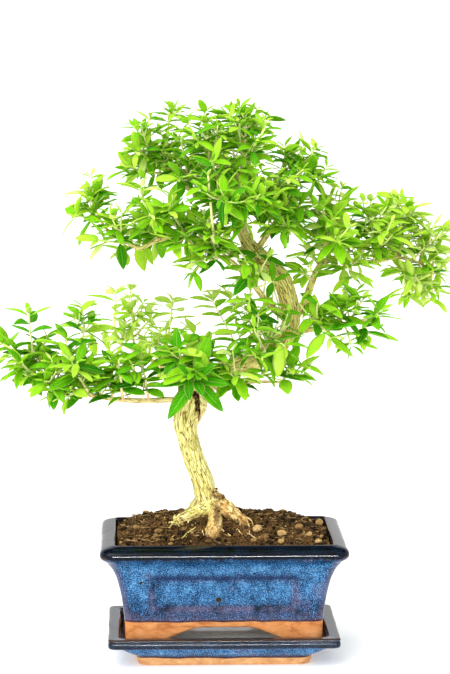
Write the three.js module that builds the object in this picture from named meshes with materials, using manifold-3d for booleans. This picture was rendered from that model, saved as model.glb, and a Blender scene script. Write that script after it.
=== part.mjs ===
// A serissa bonsai in a glazed rectangular pot that stands in a matching drip tray.
//
// Units are millimetres. The origin is on the table, under the middle of the pot. +X runs along
// the pot's long side, -Y is the front that the tree is displayed from, and +Z is up.
//
// The tray carries the pot, the pot carries the soil and two drainage screens, the soil holds the
// trunk by its buried root base, and the trunk's limbs carry the leafy sprays.

import * as THREE from "three";
import { mergeVertices } from "three/addons/utils/BufferGeometryUtils.js";
import Module from "manifold-3d";

const wasm = await Module();
wasm.setup();

// ---------------------------------------------------------------- driving dimensions

const GAP = 0.3; // clearance between pieces that touch

const POT_LENGTH = 200; // over the lip
const POT_DEPTH = 149; // over the lip
const POT_TOP = 100.4; // height of the lip's inner edge
const POT_DEPTH_TAPER = 1.1; // the front and back walls lean in more than the ends
const GLAZE_LINE = 36; // the glaze stops here and the bare foot begins
const POT_UNDERSIDE = 31.5;
const POT_FLOOR = 37.5;
const FOOT_WALL = 9;
const ARCH_HALF_WIDTH = 54; // the cut-out between the feet, at its bottom
const ARCH_FLAT_HALF_WIDTH = 28;
const END_ARCH_HALF_WIDTH = 31; // the same on the end walls
const END_ARCH_FLAT_HALF_WIDTH = 15;
const DRAIN_HOLE_RADIUS = 7;
const DRAIN_HOLE_X = 36;

const PANEL_HALF_LENGTH = 59; // the sunk panel on the long walls
const PANEL_HALF_DEPTH = 34; // and on the end walls
const PANEL_BOTTOM = 45.4;
const PANEL_TOP = 74;
const PANEL_SINK = 1.5;
const PANEL_EDGE = 1.2;

const TRAY_LENGTH = 187;
const TRAY_DEPTH = 132;
const TRAY_TOP = 24;
const TRAY_FLOOR = 18;
const TRAY_UNDERSIDE = 10;

const SCREEN_SIDE = 30;
const SCREEN_THICKNESS = 1.2;

const SOIL_EDGE = 96; // soil height along the pot's walls
const SOIL_MOUND = 19; // rise of the soil round the trunk

const STEM_RADIUS = 1.05; // a spray's stem where it leaves the wood
const STEM_TIP_RADIUS = 0.55;
const STEM_SEGMENTS = 2;
const LEAF_LENGTH = 26;
const LEAF_THICKNESS = 0.9;
const LEAF_DROOP = 0.12; // share of a leaf's length that its tip bends down
const LEAF_PAIRS = 2; // at the end of each stem
const LEAF_PAIR_SPACING = 11;
const LEAF_ROOM = 0.35; // clearance kept round a leaf

const MERGE_WITHIN = 1e-3; // vertices nearer than this are one

// ---------------------------------------------------------------- materials

const standard = (color, roughness) =>
  new THREE.MeshStandardMaterial({ color, roughness, metalness: 0 });

const glazeBlue = standard(0x2d5f9e, 0.15);
const glazeTray = standard(0x3a5f8a, 0.18);
const soilBrown = standard(0x4a3420, 0.95);
const screenGreen = standard(0x27382a, 0.6);
const barkCream = standard(0xcdb878, 0.8);
const leafGreen = standard(0x4f9a1e, 0.5);

// ---------------------------------------------------------------- geometry helpers

const vec = (x, y, z) => new THREE.Vector3(x, y, z);

// A closed solid through rings that have equal numbers of points, with a flat fan at each end.
function loft(rings) {
  const count = rings[0].length;
  const positions = rings.flat().flatMap((p) => [p.x, p.y, p.z]);
  const index = [];
  for (let r = 0; r + 1 < rings.length; r++) {
    for (let i = 0; i < count; i++) {
      const a = r * count + i;
      const b = r * count + ((i + 1) % count);
      index.push(a, b, b + count, a, b + count, a + count);
    }
  }
  const last = (rings.length - 1) * count;
  for (let i = 1; i + 1 < count; i++) {
    index.push(0, i + 1, i);
    index.push(last, last + i, last + i + 1);
  }
  const geometry = new THREE.BufferGeometry();
  geometry.setAttribute("position", new THREE.Float32BufferAttribute(positions, 3));
  geometry.setIndex(index);
  return geometry;
}

// A three.js geometry as a manifold-3d solid.
function solidFrom(geometry) {
  const bare = geometry.clone();
  bare.deleteAttribute("normal");
  bare.deleteAttribute("uv");
  const merged = mergeVertices(bare, MERGE_WITHIN);
  return new wasm.Manifold(
    new wasm.Mesh({
      numProp: 3,
      vertProperties: new Float32Array(merged.attributes.position.array),
      triVerts: new Uint32Array(merged.index.array),
    }),
  );
}

// The same the other way round.
function geometryFrom(solid) {
  const mesh = solid.getMesh();
  const geometry = new THREE.BufferGeometry();
  geometry.setAttribute("position", new THREE.BufferAttribute(mesh.vertProperties, 3));
  geometry.setIndex(new THREE.BufferAttribute(mesh.triVerts, 1));
  return geometry;
}

const joined = (solids) => solids.reduce((whole, part) => whole.add(part));

// The largest of a solid's separate bodies once its closest vertices are merged, so that neither a
// cut nor a hair-thin neck leaves crumbs.
function mainBody(solid) {
  const bodies = solidFrom(geometryFrom(solid)).decompose();
  return bodies.reduce((best, body) => (body.volume() > best.volume() ? body : best));
}

// Evenly spread, repeatable numbers from 0 to 1.
function randomSource(seed) {
  let state = seed;
  return () => {
    state = (state + 0x6d2b79f5) | 0;
    let t = Math.imul(state ^ (state >>> 15), 1 | state);
    t = (t + Math.imul(t ^ (t >>> 7), 61 | t)) ^ t;
    return ((t ^ (t >>> 14)) >>> 0) / 4294967296;
  };
}

// ---------------------------------------------------------------- rounded rectangles

const CORNER_STEPS = 3;

// One level ring of a rounded rectangle, anticlockwise from above. Each straight side also has a
// point at each end of the sunk panel's slope. sink moves the panel's own points inwards.
function ring(halfX, halfY, radius, z, sink = 0) {
  const points = [];
  const corner = (cx, cy, start) => {
    for (let i = 0; i <= CORNER_STEPS; i++) {
      const a = start + (i / CORNER_STEPS) * (Math.PI / 2);
      points.push(vec(cx + radius * Math.cos(a), cy + radius * Math.sin(a), z));
    }
  };
  const panelX = [PANEL_HALF_LENGTH, PANEL_HALF_LENGTH - PANEL_EDGE];
  const panelY = [PANEL_HALF_DEPTH, PANEL_HALF_DEPTH - PANEL_EDGE];
  const shrinkX = Math.min(1, (halfX - radius - 2) / PANEL_HALF_LENGTH);
  const shrinkY = Math.min(1, (halfY - radius - 2) / PANEL_HALF_DEPTH);
  const alongX = (sign, y) => {
    for (const [x, moved] of [[panelX[0], 0], [panelX[1], sink]])
      points.push(vec(sign * x * shrinkX, y - Math.sign(y) * moved, z));
    for (const [x, moved] of [[panelX[1], sink], [panelX[0], 0]])
      points.push(vec(-sign * x * shrinkX, y - Math.sign(y) * moved, z));
  };
  const alongY = (sign, x) => {
    for (const [y, moved] of [[panelY[0], 0], [panelY[1], sink]])
      points.push(vec(x - Math.sign(x) * moved, sign * y * shrinkY, z));
    for (const [y, moved] of [[panelY[1], sink], [panelY[0], 0]])
      points.push(vec(x - Math.sign(x) * moved, -sign * y * shrinkY, z));
  };
  corner(halfX - radius, halfY - radius, 0);
  alongX(1, halfY);
  corner(-halfX + radius, halfY - radius, Math.PI / 2);
  alongY(1, -halfX);
  corner(-halfX + radius, -halfY + radius, Math.PI);
  alongX(-1, -halfY);
  corner(halfX - radius, -halfY + radius, 1.5 * Math.PI);
  alongY(-1, halfX);
  return points;
}

const potRing = (inset, radius, z, sink = 0) =>
  ring(POT_LENGTH / 2 - inset, POT_DEPTH / 2 - inset * POT_DEPTH_TAPER, radius, z, sink);

const trayRing = (inset, radius, z) =>
  ring(TRAY_LENGTH / 2 - inset, TRAY_DEPTH / 2 - inset, radius, z);

// An upright block with rounded corners, for recesses.
const roundedBlock = (halfX, halfY, radius, low, high) =>
  solidFrom(loft([ring(halfX, halfY, radius, low), ring(halfX, halfY, radius, high)]));

function uprightCylinder(radius, low, high, x, y) {
  const cylinder = new THREE.CylinderGeometry(radius, radius, high - low, 16);
  cylinder.rotateX(Math.PI / 2);
  cylinder.translate(x, y, (low + high) / 2);
  return solidFrom(cylinder);
}

// ---------------------------------------------------------------- pot and tray

// How far the pot's outside stands in from the lip, against height: [height, inset, corner radius].
const POT_OUTSIDE = [
  [TRAY_FLOOR + GAP, 20.6, 8],
  [GLAZE_LINE, 20, 8],
  [PANEL_BOTTOM - PANEL_EDGE / 2, 18.9, 8],
  [PANEL_BOTTOM + PANEL_EDGE / 2, 18.7, 8],
  [57.7, 16.9, 8],
  [67.6, 14.6, 9],
  [PANEL_TOP - PANEL_EDGE / 2, 12.9, 9],
  [PANEL_TOP + PANEL_EDGE / 2, 12.5, 9],
  [80.5, 9.6, 10],
  [85, 6.8, 11],
  [88.8, 3.8, 12],
  [92.4, 1, 12],
  [95, 0, 12],
  [97, 1.4, 11],
  [POT_TOP, 11.5, 5],
];

const POT_INSIDE = [
  [POT_TOP - 1, 12.7, 4.5],
  [91, 14, 5],
  [74, 17.6, 5],
  [56, 21.8, 5],
  [POT_FLOOR + 2, 25.6, 5],
  [POT_FLOOR, 28, 5],
];

const inPanel = (z) => z > PANEL_BOTTOM && z < PANEL_TOP;

// The cut-out between two feet, running right through under the pot along Y.
function footArch(halfWidth, flatHalfWidth) {
  const shape = new THREE.Shape();
  const foot = TRAY_FLOOR + GAP;
  const top = POT_UNDERSIDE - 0.3;
  const bend = (halfWidth - flatHalfWidth) / 2;
  shape.moveTo(-halfWidth, foot - 5);
  shape.lineTo(halfWidth, foot - 5);
  shape.lineTo(halfWidth, foot);
  shape.bezierCurveTo(halfWidth - bend, foot + 1, flatHalfWidth + bend, top, flatHalfWidth, top);
  shape.lineTo(-flatHalfWidth, top);
  shape.bezierCurveTo(-flatHalfWidth - bend, top, -halfWidth + bend, foot + 1, -halfWidth, foot);
  const arch = new THREE.ExtrudeGeometry(shape, {
    depth: POT_LENGTH,
    bevelEnabled: false,
    curveSegments: 5,
  });
  arch.rotateX(Math.PI / 2);
  arch.translate(0, POT_LENGTH / 2, 0);
  return arch;
}

function makePot() {
  const outside = POT_OUTSIDE.map(([z, inset, radius]) =>
    potRing(inset, radius, z, inPanel(z) ? PANEL_SINK : 0),
  );
  const inside = POT_INSIDE.map(([z, inset, radius]) => potRing(inset, radius, z));
  const body = solidFrom(loft([...outside, ...inside]));
  const [footBottom, footInset] = POT_OUTSIDE[0];
  const recess = roundedBlock(
    POT_LENGTH / 2 - footInset - FOOT_WALL,
    POT_DEPTH / 2 - footInset * POT_DEPTH_TAPER - FOOT_WALL,
    5,
    footBottom - 5,
    POT_UNDERSIDE,
  );
  const drains = [-DRAIN_HOLE_X, DRAIN_HOLE_X].map((x) =>
    uprightCylinder(DRAIN_HOLE_RADIUS, POT_UNDERSIDE - 3, POT_FLOOR + 3, x, 0),
  );
  const longArch = solidFrom(footArch(ARCH_HALF_WIDTH, ARCH_FLAT_HALF_WIDTH));
  const endArch = solidFrom(footArch(END_ARCH_HALF_WIDTH, END_ARCH_FLAT_HALF_WIDTH).rotateZ(Math.PI / 2));
  return body.subtract(joined([recess, longArch, endArch, ...drains]));
}

const TRAY_PROFILE = [
  [0, 25, 8],
  [1.5, 23.5, 9],
  [8, 22.5, 9],
  [9, 20.5, 10],
  [13, 13, 10],
  [17, 9, 8],
  [17.2, 1, 5],
  [18.4, 0, 5],
  [22.8, 0, 5],
  [TRAY_TOP, 1.4, 5],
  [TRAY_TOP, 8.6, 5],
  [TRAY_TOP - 1, 9.6, 5],
  [TRAY_FLOOR + 1, 11.6, 5],
  [TRAY_FLOOR, 12.4, 5],
];

function makeTray() {
  const body = solidFrom(
    loft(TRAY_PROFILE.map(([z, inset, radius]) => trayRing(inset, radius, z))),
  );
  return body.subtract(
    roundedBlock(TRAY_LENGTH / 2 - 31, TRAY_DEPTH / 2 - 31, 6, -5, TRAY_UNDERSIDE),
  );
}

// ---------------------------------------------------------------- tapered tubes

const smoothCurve = (points) =>
  new THREE.CatmullRomCurve3(
    points.map(([x, y, z]) => vec(x, y, z)),
    false,
    "centripetal",
  );

// A tube through points [x, y, z, radius]: a polygon of radius 1 is swept along the curve, and each
// of its rings is then widened to the radius there. grow adds clearance all round, for cutting.
function tube(points, sides, step, grow = 0) {
  const curve = smoothCurve(points);
  const steps = Math.max(2, Math.round(curve.getLength() / step));
  const corners = Array.from({ length: sides }, (_, i) => {
    const angle = (i / sides) * 2 * Math.PI;
    return new THREE.Vector2(Math.cos(angle), Math.sin(angle));
  });
  const geometry = new THREE.ExtrudeGeometry(new THREE.Shape(corners), {
    steps,
    extrudePath: curve,
    bevelEnabled: false,
  });
  const centres = curve.getSpacedPoints(steps);
  const radii = centres.map((_, s) => {
    const along = curve.getUtoTmapping(s / steps) * (points.length - 1);
    const before = Math.min(Math.floor(along), points.length - 2);
    return THREE.MathUtils.lerp(points[before][3], points[before + 1][3], along - before) + grow;
  });
  const position = geometry.attributes.position;
  const p = vec(0, 0, 0);
  for (let i = 0; i < position.count; i++) {
    p.fromBufferAttribute(position, i);
    const distances = centres.map((centre) => centre.distanceTo(p));
    const nearest = distances.indexOf(Math.min(...distances));
    p.sub(centres[nearest]).multiplyScalar(radii[nearest]).add(centres[nearest]);
    if (nearest === 0) p.addScaledVector(curve.getTangentAt(0), -grow);
    if (nearest === steps) p.addScaledVector(curve.getTangentAt(1), grow);
    position.setXYZ(i, p.x, p.y, p.z);
  }
  return solidFrom(geometry);
}

// ---------------------------------------------------------------- trunk and its roots

// An S: it leans left out of the soil, swings over to the right and comes back to the crown.
const TRUNK = [
  [-7, 2, 84, 14], [-9, 1, 102, 13], [-11, 0, 114, 11.4],
  [-12, 0, 123, 9.6], [-14, 0, 133, 8.6], [-16, 0, 143, 8.3], [-22, -1, 158, 8.1],
  [-27, -2, 174, 8.1], [-30, -3, 192, 9.4], [-28, -4, 205, 9.8], [-22, -2, 219, 9.4],
  [-8, 4, 227, 8.7], [6, 8, 232, 8.2], [20, 10, 237, 8], [34, 11, 243, 7.8],
  [47, 9, 253, 7.6], [55, 5, 267, 7.4], [56, 0, 282, 7.4], [53, -3, 295, 7.5],
  [48, -4, 308, 7.5], [37, -2, 320, 7.2], [26, 1, 330, 6.2], [18, 5, 342, 5],
  [14, 8, 356, 4.1], [15, 7, 375, 3.2], [17, 4, 396, 2.4], [18, 1, 416, 1.5],
];

const ROOTS = [
  [[-13, 0, 129, 4.8], [-19, -4, 121, 4.4], [-26, -8, 116, 4], [-34, -12, 111, 3.5], [-46, -17, 98, 2.8]],
  [[-12, 1, 136, 4.5], [-4, -2, 129, 4.6], [3, -7, 121, 4.8], [10, -12, 114, 4.2], [19, -19, 99, 3.2]],
  [[-12, -1, 127, 5], [-9, -10, 118, 5.4], [-8, -23, 111, 5.6], [-10, -37, 104, 5], [-12, -49, 94, 4]],
  [[-10, 2, 130, 5], [-2, 14, 117, 5], [6, 28, 107, 4.2], [14, 38, 98, 3.2]],
  [[-14, 2, 129, 5], [-21, 13, 117, 4.6], [-31, 26, 107, 3.4]],
];

// ---------------------------------------------------------------- limbs

// Each limb is a woody branch off the trunk: its path points are [x, y, z, radius], from inside the
// trunk outwards. Each spray leaves its limb at a share of the limb's length and ends in leafy tips:
// its first stem runs to the first tip, and its other stems branch off that one.
const LIMBS = {
  low_left: {
    path: [
      [-28, -4, 208, 3], [-43, -12, 211, 2.6], [-59, -18, 211, 2.3], [-77, -22, 212, 2.1],
      [-93, -24, 214, 1.9], [-105, -24, 216, 1.8], [-117, -23, 220, 1.6], [-130, -21, 224, 1.4],
      [-142, -19, 227, 1.2], [-153, -17, 235, 1],
    ],
    sprays: [
      { at: 0.99, tips: [[-156, -22, 283], [-180, -12, 258]] },
      { at: 0.9, tips: [[-162, -40, 246]] },
      { at: 0.82, tips: [[-143, -52, 232], [-125, -45, 266]] },
      { at: 0.68, tips: [[-112, -28, 278]] },
      { at: 0.6, tips: [[-121, -62, 249]] },
      { at: 0.42, tips: [[-84, -54, 249]] },
      { at: 0.26, tips: [[-66, -46, 256]] },
    ],
  },
  low_back: {
    path: [
      [-25, 0, 217, 2.8], [-36, 12, 225, 2.3], [-50, 28, 233, 1.9], [-70, 44, 243, 1.5],
      [-90, 58, 251, 1.1],
    ],
    sprays: [
      { at: 0.98, tips: [[-87, 72, 290], [-110, 74, 253]] },
      { at: 0.75, tips: [[-74, 52, 280], [-58, 78, 267]] },
      { at: 0.4, tips: [[-45, 62, 259], [-40, 40, 286]] },
    ],
  },
  low_front: {
    path: [
      [-25, -4, 214, 2.6], [-26, -16, 223, 2.2], [-27, -28, 231, 1.8], [-29, -40, 237, 1.3],
    ],
    sprays: [
      { at: 0.97, tips: [[-36, -50, 257], [-23, -66, 241]] },
      { at: 0.6, tips: [[-11, -44, 256]] },
    ],
  },
  low_right: {
    path: [
      [-12, 4, 221, 2.2], [-5, -6, 219, 1.9], [12, -12, 224, 1.7], [32, -18, 226, 1.4],
      [49, -22, 226, 1.1],
    ],
    sprays: [
      { at: 0.45, tips: [[9, -50, 239]] },
      { at: 0.97, tips: [[53, -36, 241]] },
    ],
  },
  mid_front: {
    path: [
      [28, 8, 239, 2.4], [32, -6, 249, 2], [35, -20, 256, 1.7], [37, -34, 264, 1.2],
    ],
    sprays: [
      { at: 0.7, tips: [[30, -56, 249], [24, -50, 274]] },
      { at: 0.97, tips: [[48, -54, 260]] },
    ],
  },
  mid_right: {
    path: [
      [55, 4, 262, 2.8], [66, -6, 266, 2.4], [80, -16, 270, 2], [96, -24, 274, 1.6],
      [108, -28, 276, 1.1],
    ],
    sprays: [
      { at: 0.4, tips: [[76, -30, 292], [85, -46, 265]] },
      { at: 0.7, tips: [[100, -26, 293], [103, -34, 257]] },
      { at: 0.98, tips: [[124, -30, 282], [117, -22, 264]] },
    ],
  },
  right: {
    path: [
      [60, 0, 277, 3.6], [68, 5, 290, 3.3], [73, 10, 303, 3], [82, 18, 318, 2.7],
      [96, 28, 322, 2.4], [111, 36, 318, 2.1], [128, 43, 317, 1.8], [146, 49, 320, 1.5],
      [163, 54, 316, 1.2], [176, 57, 309, 1],
    ],
    sprays: [
      { at: 0.22, tips: [[62, -26, 319]] },
      { at: 0.5, tips: [[106, 4, 308]] },
      { at: 0.66, tips: [[124, 30, 356], [139, 14, 342]] },
      { at: 0.8, tips: [[138, 66, 360], [157, 52, 358]] },
      { at: 0.85, tips: [[153, 58, 287], [165, 40, 300]] },
      { at: 0.92, tips: [[171, 74, 339], [177, 44, 348]] },
      { at: 0.99, tips: [[180, 56, 324], [177, 66, 282]] },
    ],
  },
  right_rising: {
    path: [
      [80, 16, 317, 2.4], [83, 14, 328, 2.1], [86, 10, 340, 1.8], [87, 6, 350, 1.3],
    ],
    sprays: [
      { at: 0.97, tips: [[81, -2, 367], [100, 18, 370]] },
      { at: 0.55, tips: [[90, -28, 345]] },
      { at: 0.7, tips: [[108, 40, 342]] },
    ],
  },
  inner_left: {
    path: [
      [58, 2, 270, 3.6], [51, -5, 276, 3.4], [41, -11, 285, 3.1], [34, -16, 293, 2.8],
      [25, -21, 305, 2.5], [13, -27, 319, 2.2], [0, -32, 331, 1.6],
    ],
    sprays: [
      { at: 0.97, tips: [[-22, -52, 327], [-10, -60, 352]] },
      { at: 0.6, tips: [[18, -56, 327], [20, -52, 295]] },
    ],
  },
  crown_left_low: {
    path: [
      [21, 4, 331, 3.2], [11, 2, 331, 3], [0, 0, 333, 2.8], [-18, -4, 338, 2.5],
      [-34, -7, 343, 2.2], [-54, -9, 340, 2], [-67, -10, 334, 1.8], [-76, -10, 338, 1.6],
      [-86, -10, 344, 1.3], [-96, -10, 352, 1],
    ],
    sprays: [
      { at: 0.98, tips: [[-107, -12, 379], [-118, -26, 362]] },
      { at: 0.82, tips: [[-100, -34, 343], [-81, -44, 365]] },
      { at: 0.6, tips: [[-66, -30, 384], [-59, -58, 366]] },
      { at: 0.55, tips: [[-58, 40, 343], [-83, 16, 328]] },
      { at: 0.38, tips: [[-43, -56, 372], [-27, -54, 340]] },
    ],
  },
  crown_left_high: {
    path: [
      [13, 8, 352, 2.8], [2, 10, 362, 2.5], [-14, 14, 371, 2.2], [-27, 18, 380, 1.9],
      [-40, 22, 393, 1.6], [-50, 25, 406, 1.2],
    ],
    sprays: [
      { at: 0.97, tips: [[-62, 22, 431], [-70, 0, 411]] },
      { at: 0.88, tips: [[-43, 34, 441]] },
      { at: 0.78, tips: [[-78, 38, 394], [-50, 64, 400]] },
      { at: 0.55, tips: [[-33, -14, 422], [-36, -44, 393]] },
    ],
  },
  crown_mid: {
    path: [
      [14, 7, 365, 2.3], [5, 0, 379, 2], [-3, -8, 390, 1.7], [-10, -14, 404, 1.3],
    ],
    sprays: [
      { at: 0.97, tips: [[-13, -12, 444], [-24, -38, 428]] },
      { at: 0.6, tips: [[-10, -60, 408]] },
    ],
  },
  crown_front: {
    path: [
      [15, 7, 342, 2.4], [14, -9, 353, 2.1], [9, -26, 365, 1.7], [2, -42, 374, 1.2],
    ],
    sprays: [
      { at: 0.97, tips: [[-17, -74, 389], [-3, -80, 379]] },
      { at: 0.7, tips: [[20, -72, 381], [17, -64, 357]] },
    ],
  },
  crown_right: {
    path: [
      [26, 3, 328, 2.9], [34, 8, 339, 2.6], [44, 14, 353, 2.2], [54, 18, 367, 1.8],
      [62, 20, 382, 1.2],
    ],
    sprays: [
      { at: 0.98, tips: [[66, 22, 407], [75, 8, 391]] },
      { at: 0.78, tips: [[52, 36, 413]] },
      { at: 0.6, tips: [[43, -34, 394], [34, -56, 373]] },
      { at: 0.45, tips: [[62, -20, 369], [50, -40, 354]] },
      { at: 0.36, tips: [[59, 52, 356]] },
    ],
  },
  crown_back: {
    path: [
      [13, 8, 360, 2.3], [14, 24, 368, 2], [9, 40, 377, 1.7], [1, 56, 384, 1.2],
    ],
    sprays: [
      { at: 0.97, tips: [[-20, 82, 399], [2, 80, 411]] },
      { at: 0.65, tips: [[28, 66, 408], [27, 80, 374]] },
    ],
  },
};

// The trunk's own tip carries sprays as a limb does.
const APEX = {
  path: TRUNK,
  sprays: [
    { at: 0.9, tips: [[7, 26, 442]] },
    { at: 0.94, tips: [[13, -24, 435], [27, -36, 423]] },
    { at: 0.99, tips: [[19, 0, 443], [35, 14, 438]] },
  ],
};

const woodParts = (grow) => [
  tube(TRUNK, 10, 12, grow),
  ...ROOTS.map((root) => tube(root, 6, 11, grow)),
  ...Object.values(LIMBS).map((limb) => tube(limb.path, 5, 17, grow)),
];
const wood = joined(woodParts(0)).simplify(0.05);
const woodCutter = joined(woodParts(GAP));

// ---------------------------------------------------------------- soil and drainage screens

// Height of the soil's surface: level along the walls, mounded round the trunk.
function soilHeight(x, y) {
  const across = Math.exp(-(((x + 4) / 84) ** 4));
  const fromFront = Math.exp(-(((y - 5) / 52) ** 2));
  const lumps = Math.sin(x * 0.31 + y * 0.17) * Math.cos(y * 0.27 - x * 0.11);
  return SOIL_EDGE + SOIL_MOUND * across * fromFront + lumps;
}

function makeScreen(x) {
  const screen = new THREE.BoxGeometry(SCREEN_SIDE, SCREEN_SIDE, SCREEN_THICKNESS);
  screen.translate(x, 0, POT_FLOOR + GAP + SCREEN_THICKNESS / 2);
  return solidFrom(screen);
}

function screenPocket(x) {
  const side = SCREEN_SIDE + 2 * GAP;
  const pocket = new THREE.BoxGeometry(side, side, SCREEN_THICKNESS + 2);
  pocket.translate(x, 0, POT_FLOOR + 2 * GAP + SCREEN_THICKNESS - (SCREEN_THICKNESS + 2) / 2);
  return solidFrom(pocket);
}

function makeSoil() {
  const walls = POT_INSIDE.slice(1)
    .reverse()
    .map(([z, inset, radius]) => potRing(inset + GAP, radius, z === POT_FLOOR ? z + GAP : z));
  const brimInset = POT_INSIDE[1][1] + GAP - 0.6;
  const brim = potRing(brimInset, 5, SOIL_EDGE - 1);
  const surface = [1, 0.84, 0.64, 0.42, 0.2].map((share) =>
    brim.map((p) => {
      const x = p.x * share;
      const y = p.y * share;
      const atWall = share === 1 ? -1 : 0;
      return vec(x, y, soilHeight(x, y) + atWall);
    }),
  );
  return solidFrom(loft([...walls, ...surface]))
    .subtract(woodCutter)
    .subtract(joined([-DRAIN_HOLE_X, DRAIN_HOLE_X].map(screenPocket)));
}

// ---------------------------------------------------------------- leafy sprays

// A stem leaves the wood sideways and then turns up to its tip.
function stemCurve(base, tip) {
  const run = tip.clone().sub(base);
  const control = base.clone().add(vec(run.x * 0.6, run.y * 0.6, run.z * 0.35));
  return new THREE.QuadraticBezierCurve3(base, control, tip);
}

// One stem to the spray's first tip, and a side stem off it to each other tip.
function stemCurves(limb, { at, tips }) {
  const [first, ...others] = tips.map((tip) => vec(...tip));
  const main = stemCurve(smoothCurve(limb.path).getPointAt(at), first);
  return [main, ...others.map((tip, i) => stemCurve(main.getPointAt(0.3 + 0.2 * i), tip))];
}

function stemSolid(curve, grow = 0) {
  const points = curve.getPoints(STEM_SEGMENTS).map((p, i) => {
    const radius = THREE.MathUtils.lerp(STEM_RADIUS, STEM_TIP_RADIUS, i / STEM_SEGMENTS);
    return [p.x, p.y, p.z, radius];
  });
  return tube(points, 4, curve.getLength() / STEM_SEGMENTS, grow);
}

// A leaf is a long flat lens with a six-sided outline, bent down towards its tip.
function leafSolid({ base, along, normal, length, width }, grow = 0) {
  const lens = new THREE.SphereGeometry(1, 6, 2);
  lens.rotateX(Math.PI / 2);
  lens.scale(length / 2 + grow, width / 2 + grow, LEAF_THICKNESS / 2 + grow);
  lens.translate(length / 2, 0, 0);
  const position = lens.attributes.position;
  for (let i = 0; i < position.count; i++) {
    const share = position.getX(i) / length;
    position.setZ(i, position.getZ(i) - LEAF_DROOP * length * share * share);
  }
  const across = new THREE.Vector3().crossVectors(normal, along);
  const place = new THREE.Matrix4().makeBasis(along, across, normal).setPosition(base);
  return solidFrom(lens.applyMatrix4(place));
}

// Leaves stand in opposite pairs, each pair turned a quarter from the last. The pair at the tip
// points forwards, and the lower ones stand out.
function leavesOf(curve, random) {
  const leaves = [];
  const length = curve.getLength();
  const firstTurn = random() * Math.PI;
  for (let pair = 0; pair < LEAF_PAIRS; pair++) {
    const share = Math.min(0.995, 1 - (pair * LEAF_PAIR_SPACING) / length);
    if (share < 0.2) break;
    const tangent = curve.getTangentAt(share);
    const side = new THREE.Vector3().crossVectors(tangent, vec(0.31, -0.9, 0.3)).normalize();
    for (const opposite of [0, Math.PI]) {
      const turn = firstTurn + (pair * Math.PI) / 2 + opposite + (random() - 0.5) * 0.5;
      const spread = THREE.MathUtils.degToRad((pair === 0 ? 40 : 64) + random() * 16);
      const along = side
        .clone()
        .applyAxisAngle(tangent, turn)
        .multiplyScalar(Math.sin(spread))
        .addScaledVector(tangent, Math.cos(spread));
      const up = tangent.clone().multiplyScalar(0.7).add(vec(0, 0, 0.9));
      const normal = up.addScaledVector(along, -up.dot(along)).normalize();
      const leafLength = LEAF_LENGTH * (0.85 + random() * 0.3);
      const width = leafLength * (0.32 + random() * 0.06);
      const base = curve.getPointAt(share).addScaledVector(along, 0.2 * STEM_TIP_RADIUS);
      leaves.push({ base, along, normal, length: leafLength, width });
    }
  }
  return leaves;
}

const boxesMeet = (a, b) =>
  [0, 1, 2].every((axis) => a.min[axis] <= b.max[axis] && b.min[axis] <= a.max[axis]);

const boxed = (solid, owner) => ({ solid, owner, box: solid.boundingBox() });

// A leaf grows only where it is clear of every other spray and of all wood.
function isClear(candidate, obstacles) {
  return !obstacles.some(
    (other) =>
      other.owner !== candidate.owner &&
      boxesMeet(candidate.box, other.box) &&
      candidate.solid.intersect(other.solid).volume() > 0,
  );
}

// ---------------------------------------------------------------- assembly

const bonsai = new THREE.Group();
bonsai.name = "serissa_bonsai";

function addPiece(name, solid, material) {
  const mesh = new THREE.Mesh(geometryFrom(solid), material);
  mesh.name = name;
  bonsai.add(mesh);
}

const soil = makeSoil();
addPiece("drip_tray", makeTray(), glazeTray);
addPiece("pot", makePot(), glazeBlue);
addPiece("drainage_screen_left", makeScreen(-DRAIN_HOLE_X), screenGreen);
addPiece("drainage_screen_right", makeScreen(DRAIN_HOLE_X), screenGreen);
addPiece("soil", soil, soilBrown);
addPiece("trunk_and_limbs", wood, barkCream);

const obstacles = [boxed(soil, "soil"), boxed(woodCutter, "wood")];
const sprays = Object.entries({ ...LIMBS, apex: APEX }).flatMap(([limbName, limb]) =>
  limb.sprays.map((spray, i) => ({
    name: `spray_${limbName}_${i + 1}`,
    curves: stemCurves(limb, spray),
  })),
);

// All stems come first, so that every leaf is tested against all of them.
sprays.forEach((spray, i) => {
  const stems = joined(spray.curves.map((curve) => stemSolid(curve)));
  const clear = sprays.slice(0, i).reduce((rest, other) => rest.subtract(other.cutter), stems);
  spray.parts = [mainBody(clear.subtract(woodCutter))];
  spray.cutter = joined(spray.curves.map((curve) => stemSolid(curve, GAP)));
  obstacles.push(boxed(spray.cutter, spray.name));
});

sprays.forEach((spray, i) => {
  const random = randomSource(1000 + i);
  for (const leaf of spray.curves.flatMap((curve) => leavesOf(curve, random))) {
    const roomy = boxed(leafSolid(leaf, LEAF_ROOM), spray.name);
    if (!isClear(roomy, obstacles)) continue;
    obstacles.push(roomy);
    spray.parts.push(leafSolid(leaf));
  }
  addPiece(spray.name, mainBody(joined(spray.parts).simplify(0.1)), leafGreen);
});

export default bonsai;
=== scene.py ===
"""A serissa bonsai in a glazed rectangular pot that stands in a matching drip tray.

Tables and helpers work in millimetres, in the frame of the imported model: the origin is on the table
under the middle of the pot and the front faces -Y. Meshes get them in metres. Only the camera, the
lights and the floor are placed in metres.
"""

import itertools
import math
import random
from functools import cached_property

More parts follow.
